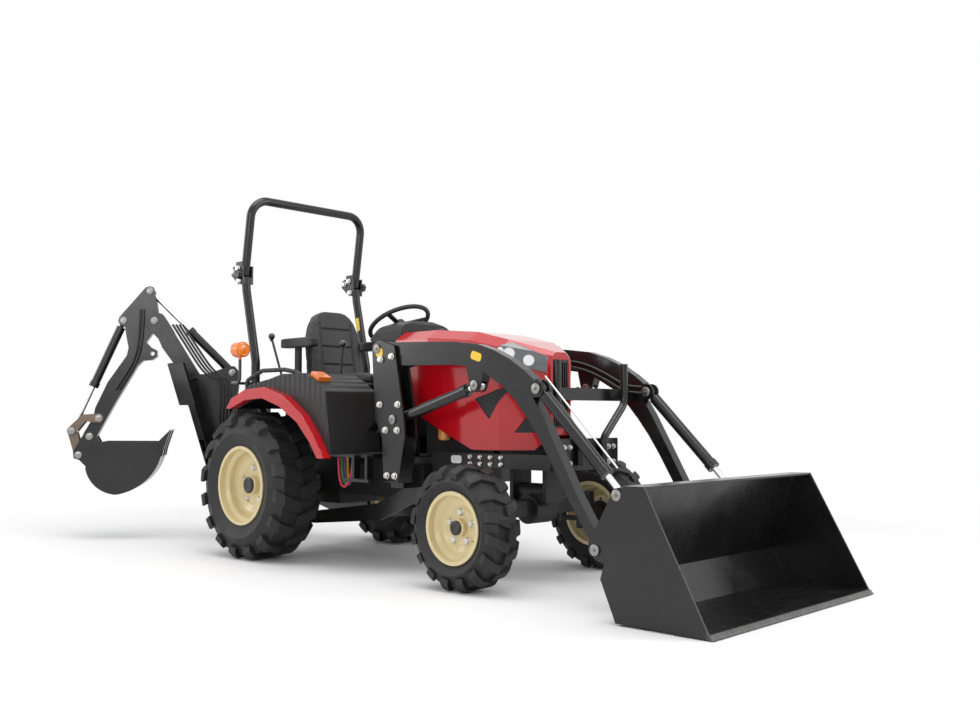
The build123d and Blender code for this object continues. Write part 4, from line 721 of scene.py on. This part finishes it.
def hose(points, radius, name, material, body):
    """Round hose swept along a smooth line, fixed at both its ends."""
    line = bpy.data.curves.new(name, "CURVE")
    line.dimensions, line.use_fill_caps, line.resolution_u = "3D", True, 6
    line.bevel_depth, line.bevel_resolution = radius, 2
    spline = line.splines.new("NURBS")
    spline.points.add(len(points) - 1)
    for point, place in zip(spline.points, points):
        point.co = (*place, 1)
    spline.order_u, spline.use_endpoint_u = 3, True
    piece = bpy.data.objects.new(name, line)
    bpy.context.collection.objects.link(piece)
    alone(piece)
    bpy.ops.object.convert(target="MESH")
    fit(bpy.context.object, name, material, body, smooth=80)


for tag, colour, y, drop, apart in COUPLER_HOSES:
    coating = finish(f"hose_{tag}", colour, 0.35, dust=0.05, grain_scale=600, grain_height=0.1,
                     edge=0.001)
    hose([(COUPLER_X, y, COUPLER_Z), (COUPLER_X, y, COUPLER_Z - 0.6 * drop),
          (COUPLER_X + 0.4 * apart, y, COUPLER_Z - drop),
          (COUPLER_X + apart, y, COUPLER_Z - 0.5 * drop), (COUPLER_X + apart, y, 0.592)],
         THIN_HOSE, f"coupler_hose_{tag}", coating, "machine")

# ---- Hood and fender arches ----
# Deep red gloss over pressed sheet. A raised black cap covers the filler at the top rear.
red = finish("red_gloss", (0.47, 0.003, 0.009), 0.18, dust=0.008, spread=0.04, grain_scale=180,
             grain_height=0.015, edge=0.006, coat=0.7, coat_roughness=0.03, specular=0.35)
dress(red, "hood", "fender_arches")
filler = drum(0.030, 0.020, (0.965, 0, 1.270))
shaped(filler, faces_up, ("inset", 0.007), ("move", (0, 0, 0.006)))
fit(filler, "filler_cap", black_cap, "hood")

# ---- Nose mesh ----
# Black grille of upright bars in the nose, and perforated black sheet behind both side vents. Its
# holes are painted near-black, as painted shade of the dark space behind the sheet, and a bump
# sinks them.
mesh_black = finish("perforated_black", (0.010, 0.010, 0.011), 0.45, grain_scale=300,
                    grain_height=0.2, edge=0.001)
tree = mesh_black.node_tree
spot, cells, holes, dark, mix = (tree.nodes.new(k) for k in (
    "ShaderNodeTexCoord", "ShaderNodeTexVoronoi", "ShaderNodeMath", "ShaderNodeBump",
    "ShaderNodeMix"))
cells.inputs["Scale"].default_value, cells.inputs["Randomness"].default_value = 110, 0.0
holes.operation, holes.inputs[1].default_value = "LESS_THAN", 0.34
mix.data_type = "RGBA"
# Painted shade: the holes get a near-black colour for the shadowed space seen through them.
mix.inputs["B"].default_value = (0.001, 0.001, 0.001, 1)
dark.inputs["Strength"].default_value, dark.inputs["Distance"].default_value = 0.8, 0.001
dark.invert = True
tree.links.new(spot.outputs["Object"], cells.inputs["Vector"])
tree.links.new(cells.outputs["Distance"], holes.inputs[0])
tree.links.new(holes.outputs["Value"], mix.inputs["Factor"])
tree.links.new(tree.nodes["life"].outputs["Colour"], mix.inputs["A"])
tree.links.new(mix.outputs["Result"], tree.nodes["Principled BSDF"].inputs["Base Color"])
tree.links.new(holes.outputs["Value"], dark.inputs["Height"])
tree.links.new(tree.nodes["life"].outputs["Normal"], dark.inputs["Normal"])
tree.links.new(dark.outputs["Normal"], tree.nodes["Principled BSDF"].inputs["Normal"])
dress(mesh_black, "hood_grille")

# ---- Headlamps ----
# A dark bezel with three bright round reflectors, drawn in the material, on each side of the nose.
REFLECTORS = (  # middle on the left side, and radius
    ((1.655, 0.222, 1.118), 0.034), ((1.722, 0.152, 1.080), 0.030), ((1.612, 0.242, 1.130), 0.020))
lamp_glass = finish("headlamp_glass", (0.05, 0.052, 0.056), 0.10, spread=0.03, grain_scale=90,
                    grain_height=0.1, edge=0.002, coat=1.0)
tree = lamp_glass.node_tree
_, place = mirrored_place(tree)
link = tree.links.new
mask = None
for middle, size in REFLECTORS:
    away, bowl = tree.nodes.new("ShaderNodeVectorMath"), tree.nodes.new("ShaderNodeMapRange")
    away.operation, away.inputs[1].default_value = "DISTANCE", middle
    bowl.inputs["From Min"].default_value, bowl.inputs["From Max"].default_value = size, size * 0.80
    link(place, away.inputs[0])
    link(away.outputs["Value"], bowl.inputs["Value"])
    if mask is None:
        mask = bowl.outputs["Result"]
    else:
        more = tree.nodes.new("ShaderNodeMath")
        more.operation = "MAXIMUM"
        link(mask, more.inputs[0])
        link(bowl.outputs["Result"], more.inputs[1])
        mask = more.outputs["Value"]
bright = tree.nodes.new("ShaderNodeMix")
bright.data_type = "RGBA"
bright.inputs["A"].default_value = (0.10, 0.105, 0.115, 1)
bright.inputs["B"].default_value = (0.80, 0.82, 0.85, 1)
link(mask, bright.inputs["Factor"])
link(bright.outputs["Result"], tree.nodes["Principled BSDF"].inputs["Base Color"])
link(mask, tree.nodes["Principled BSDF"].inputs["Metallic"])
dress(lamp_glass, "headlamps")

# ---- Loader pins ----
# Turned steel pin heads at the pivots of the arms and the bucket, each with a grease nipple in
# its middle.
ARM_SIDES, BUCKET_EARS = (0.4522, 0.3978), (0.4648, 0.3852)  # outer and inner faces
MIDDLE_OF_ARM = 0.42  # from the middle of the machine; a head inside it faces inward
pin_steel = finish("pin_steel", (0.30, 0.29, 0.28), 0.34, dust=0.05, spread=0.10,
                   grain_scale=400, grain_height=0.1, edge=0.001, metallic=0.9)
pin_head = drum(0.024, 0.008, (0, 0, 0.004), vertices=28)
shaped(pin_head, faces_up, ("inset", 0.004), ("move", (0, 0, 0.002)), ("inset", 0.014),
       ("draw", (0, 0, 0.008)))
for name, body, spots, sides in (
        ("arm_pivot_pins", "machine", ((0.960, 1.154), (1.083, 0.790)), (MAST_SIDE,)),
        ("arm_pins", "loader_arms", ((2.030, 0.930), (1.645, 0.953)), ARM_SIDES),
        ("bucket_pins", "loader_bucket", ((2.365, 0.245), (2.480, 0.480)), BUCKET_EARS)):
    places = [((x, side * y, z), (0, side if y > MIDDLE_OF_ARM else -side, 0))
              for side in (-1, 1) for x, z in spots for y in sides]
    fit(set_out(pin_head, places), name, pin_steel, body)

# ---- Loader hoses ----
# Two pressure hoses climb each mast to where the arm starts, and two more follow the arm's
# inner side to the tilt cylinder.
ARM_HOSE_Y, ARM_HOSE_PITCH = 0.386, 0.030
for side, sign in (("left", 1), ("right", -1)):
    for k, z in ((0, 0.0), (1, -ARM_HOSE_PITCH)):
        y = sign * (ARM_HOSE_Y - 0.004 * k)
        hose([(1.075, y, 1.085 + z), (1.250, y, 1.120 + z), (1.480, y, 1.110 + z),
              (1.640, y, 1.088 + z), (1.800, y, 1.022 + z), (1.925, y, 0.952 + z),
              (2.010, sign * 0.405, 0.955 + z)],
             THICK_HOSE, f"arm_hose_{side}_{k}", hose_rubber, "loader_arms")
        hose([(1.040, y, 0.640), (0.945 + 0.02 * k, y, 0.800), (0.925 + 0.02 * k, y, 0.980),
              (0.950, y, 1.085 + z), (1.075, y, 1.085 + z)],
             THICK_HOSE, f"mast_hose_{side}_{k}", hose_rubber, "machine")

# ---- Bucket level rod ----
# A thin bright rod along the right tilt cylinder shows the driver how the bucket lies.
LEVEL_ROD_Y, LEVEL_ROD_RADIUS = -0.425, 0.0045
chrome = finish("hard_chrome", (0.78, 0.78, 0.80), 0.14, spread=0.04, grain_scale=900,
                grain_height=0.02, edge=0.001, metallic=1.0)
hose([(x, LEVEL_ROD_Y, z) for x, z in ((2.060, 0.985), (2.270, 0.775), (2.455, 0.590))],
     LEVEL_ROD_RADIUS, "level_rod", chrome, "tilt_barrels")

# ---- Hydraulic rods ----
# Ground and hard-chromed steel bars, wiped clean by their seals.
dress(chrome, "lift_rods", "tilt_rods", "swing_rod_left", "swing_rod_right", "hoe_boom_rod",
      "hoe_dipper_rod", "hoe_bucket_rod", "stab_rod_left", "stab_rod_right")

# ---- Loader bucket ----
# Bent and welded black plate. Its cutting edge is scoured to patches of grey steel.
WEAR_START, WEAR_END = 3.030, 3.058  # X, over the cutting edge
bucket_black = finish("bucket_black", (0.0065, 0.0065, 0.007), 0.26, dust=0.02, spread=0.08,
                      grain_scale=140, grain_height=0.05, edge=0.003, coat=0.10,
                      coat_roughness=0.12, specular=0.45)
tree = bucket_black.node_tree
spot, apart, near, patchy, worn, mix = (tree.nodes.new(k) for k in (
    "ShaderNodeTexCoord", "ShaderNodeSeparateXYZ", "ShaderNodeMapRange", "ShaderNodeTexNoise",
    "ShaderNodeMath", "ShaderNodeMix"))
near.inputs["From Min"].default_value, near.inputs["From Max"].default_value = WEAR_START, WEAR_END
patchy.inputs["Scale"].default_value, patchy.inputs["Detail"].default_value = 30, 4
worn.operation, mix.data_type = "MULTIPLY", "RGBA"
mix.inputs["B"].default_value = (0.16, 0.155, 0.15, 1)
link = tree.links.new
link(spot.outputs["Object"], apart.inputs["Vector"])
link(spot.outputs["Object"], patchy.inputs["Vector"])
link(apart.outputs["X"], near.inputs["Value"])
link(near.outputs["Result"], worn.inputs[0])
link(patchy.outputs["Fac"], worn.inputs[1])
link(worn.outputs["Value"], mix.inputs["Factor"])
link(tree.nodes["life"].outputs["Colour"], mix.inputs["A"])
link(mix.outputs["Result"], tree.nodes["Principled BSDF"].inputs["Base Color"])
dress(bucket_black, "loader_bucket", "hoe_bucket")

# ---- Backhoe linkage ----
# Plain steel guide bars that have browned with oil, and pin heads at the pivots.
SWING_X, SWING = -1.05, math.radians(235)  # the post's place, and the heading the boom is parked at
browned = finish("browned_steel", (0.16, 0.12, 0.095), 0.42, spread=0.12, grain_scale=300,
                 grain_height=0.2, edge=0.002, metallic=0.7)
dress(browned, "hoe_rocker", "hoe_link")


def behind(s, y, z):
    """A point of the backhoe's own upright plane, in metres, as the boom is parked."""
    return (SWING_X + s * math.cos(SWING) - y * math.sin(SWING),
            s * math.sin(SWING) + y * math.cos(SWING), z)


across = (-math.sin(SWING), math.cos(SWING), 0)
for name, body, spots, half in (
        ("boom_pins", "hoe_boom", ((0.549, 1.444), (0.038, 1.100), (0.290, 0.880)), 0.0522),
        ("post_pins", "swing_post", ((0.120, 0.520), (0.140, 0.402)), 0.0667),
        ("dipper_pins", "hoe_dipper", ((0.582, 1.645), (0.748, 1.443)), 0.0382),
        ("rocker_pins", "hoe_rocker", ((0.889, 0.793), (1.057, 0.710)), 0.0507),
        ("digger_pins", "hoe_bucket", ((0.944, 0.673), (1.011, 0.552)), 0.0527)):
    places = [(behind(s, side * half, z), tuple(side * v for v in across))
              for side in (-1, 1) for s, z in spots]
    fit(set_out(pin_head, places), name, pin_steel, body)
discard(pin_head)

# ---- Backhoe hoses ----
# Four pressure hoses climb the boom's side from its foot, and two run along the dipper.
BUNDLE_PITCH, BOOM_HOSE_SIDE, DIPPER_HOSE_SIDE = 0.022, 0.0605, 0.0465
for k in range(4):
    z, y = BUNDLE_PITCH * k, BOOM_HOSE_SIDE + 0.001 * k
    hose([behind(0.105, y, 0.600), behind(0.120 - z, y, 0.760), behind(0.110 - z, y, 0.930),
          behind(0.120 - z, y, 1.060), behind(0.215 - z, y, 1.080 + 0.2 * z),
          behind(0.330 - z, y, 1.260), behind(0.430 - z, y, 1.420)],
         THIN_HOSE, f"boom_hose_{k}", hose_rubber, "hoe_boom")
for k in range(2):
    step, y = BUNDLE_PITCH * k, DIPPER_HOSE_SIDE + 0.001 * k
    hose([behind(0.640 - step, y, 1.520), behind(0.640 - step, y, 1.400),
          behind(0.655 - step, y, 1.240), behind(0.700 - step, y, 1.120),
          behind(0.790 - step, y, 0.980)],
         THIN_HOSE, f"dipper_hose_{k}", hose_rubber, "hoe_dipper")
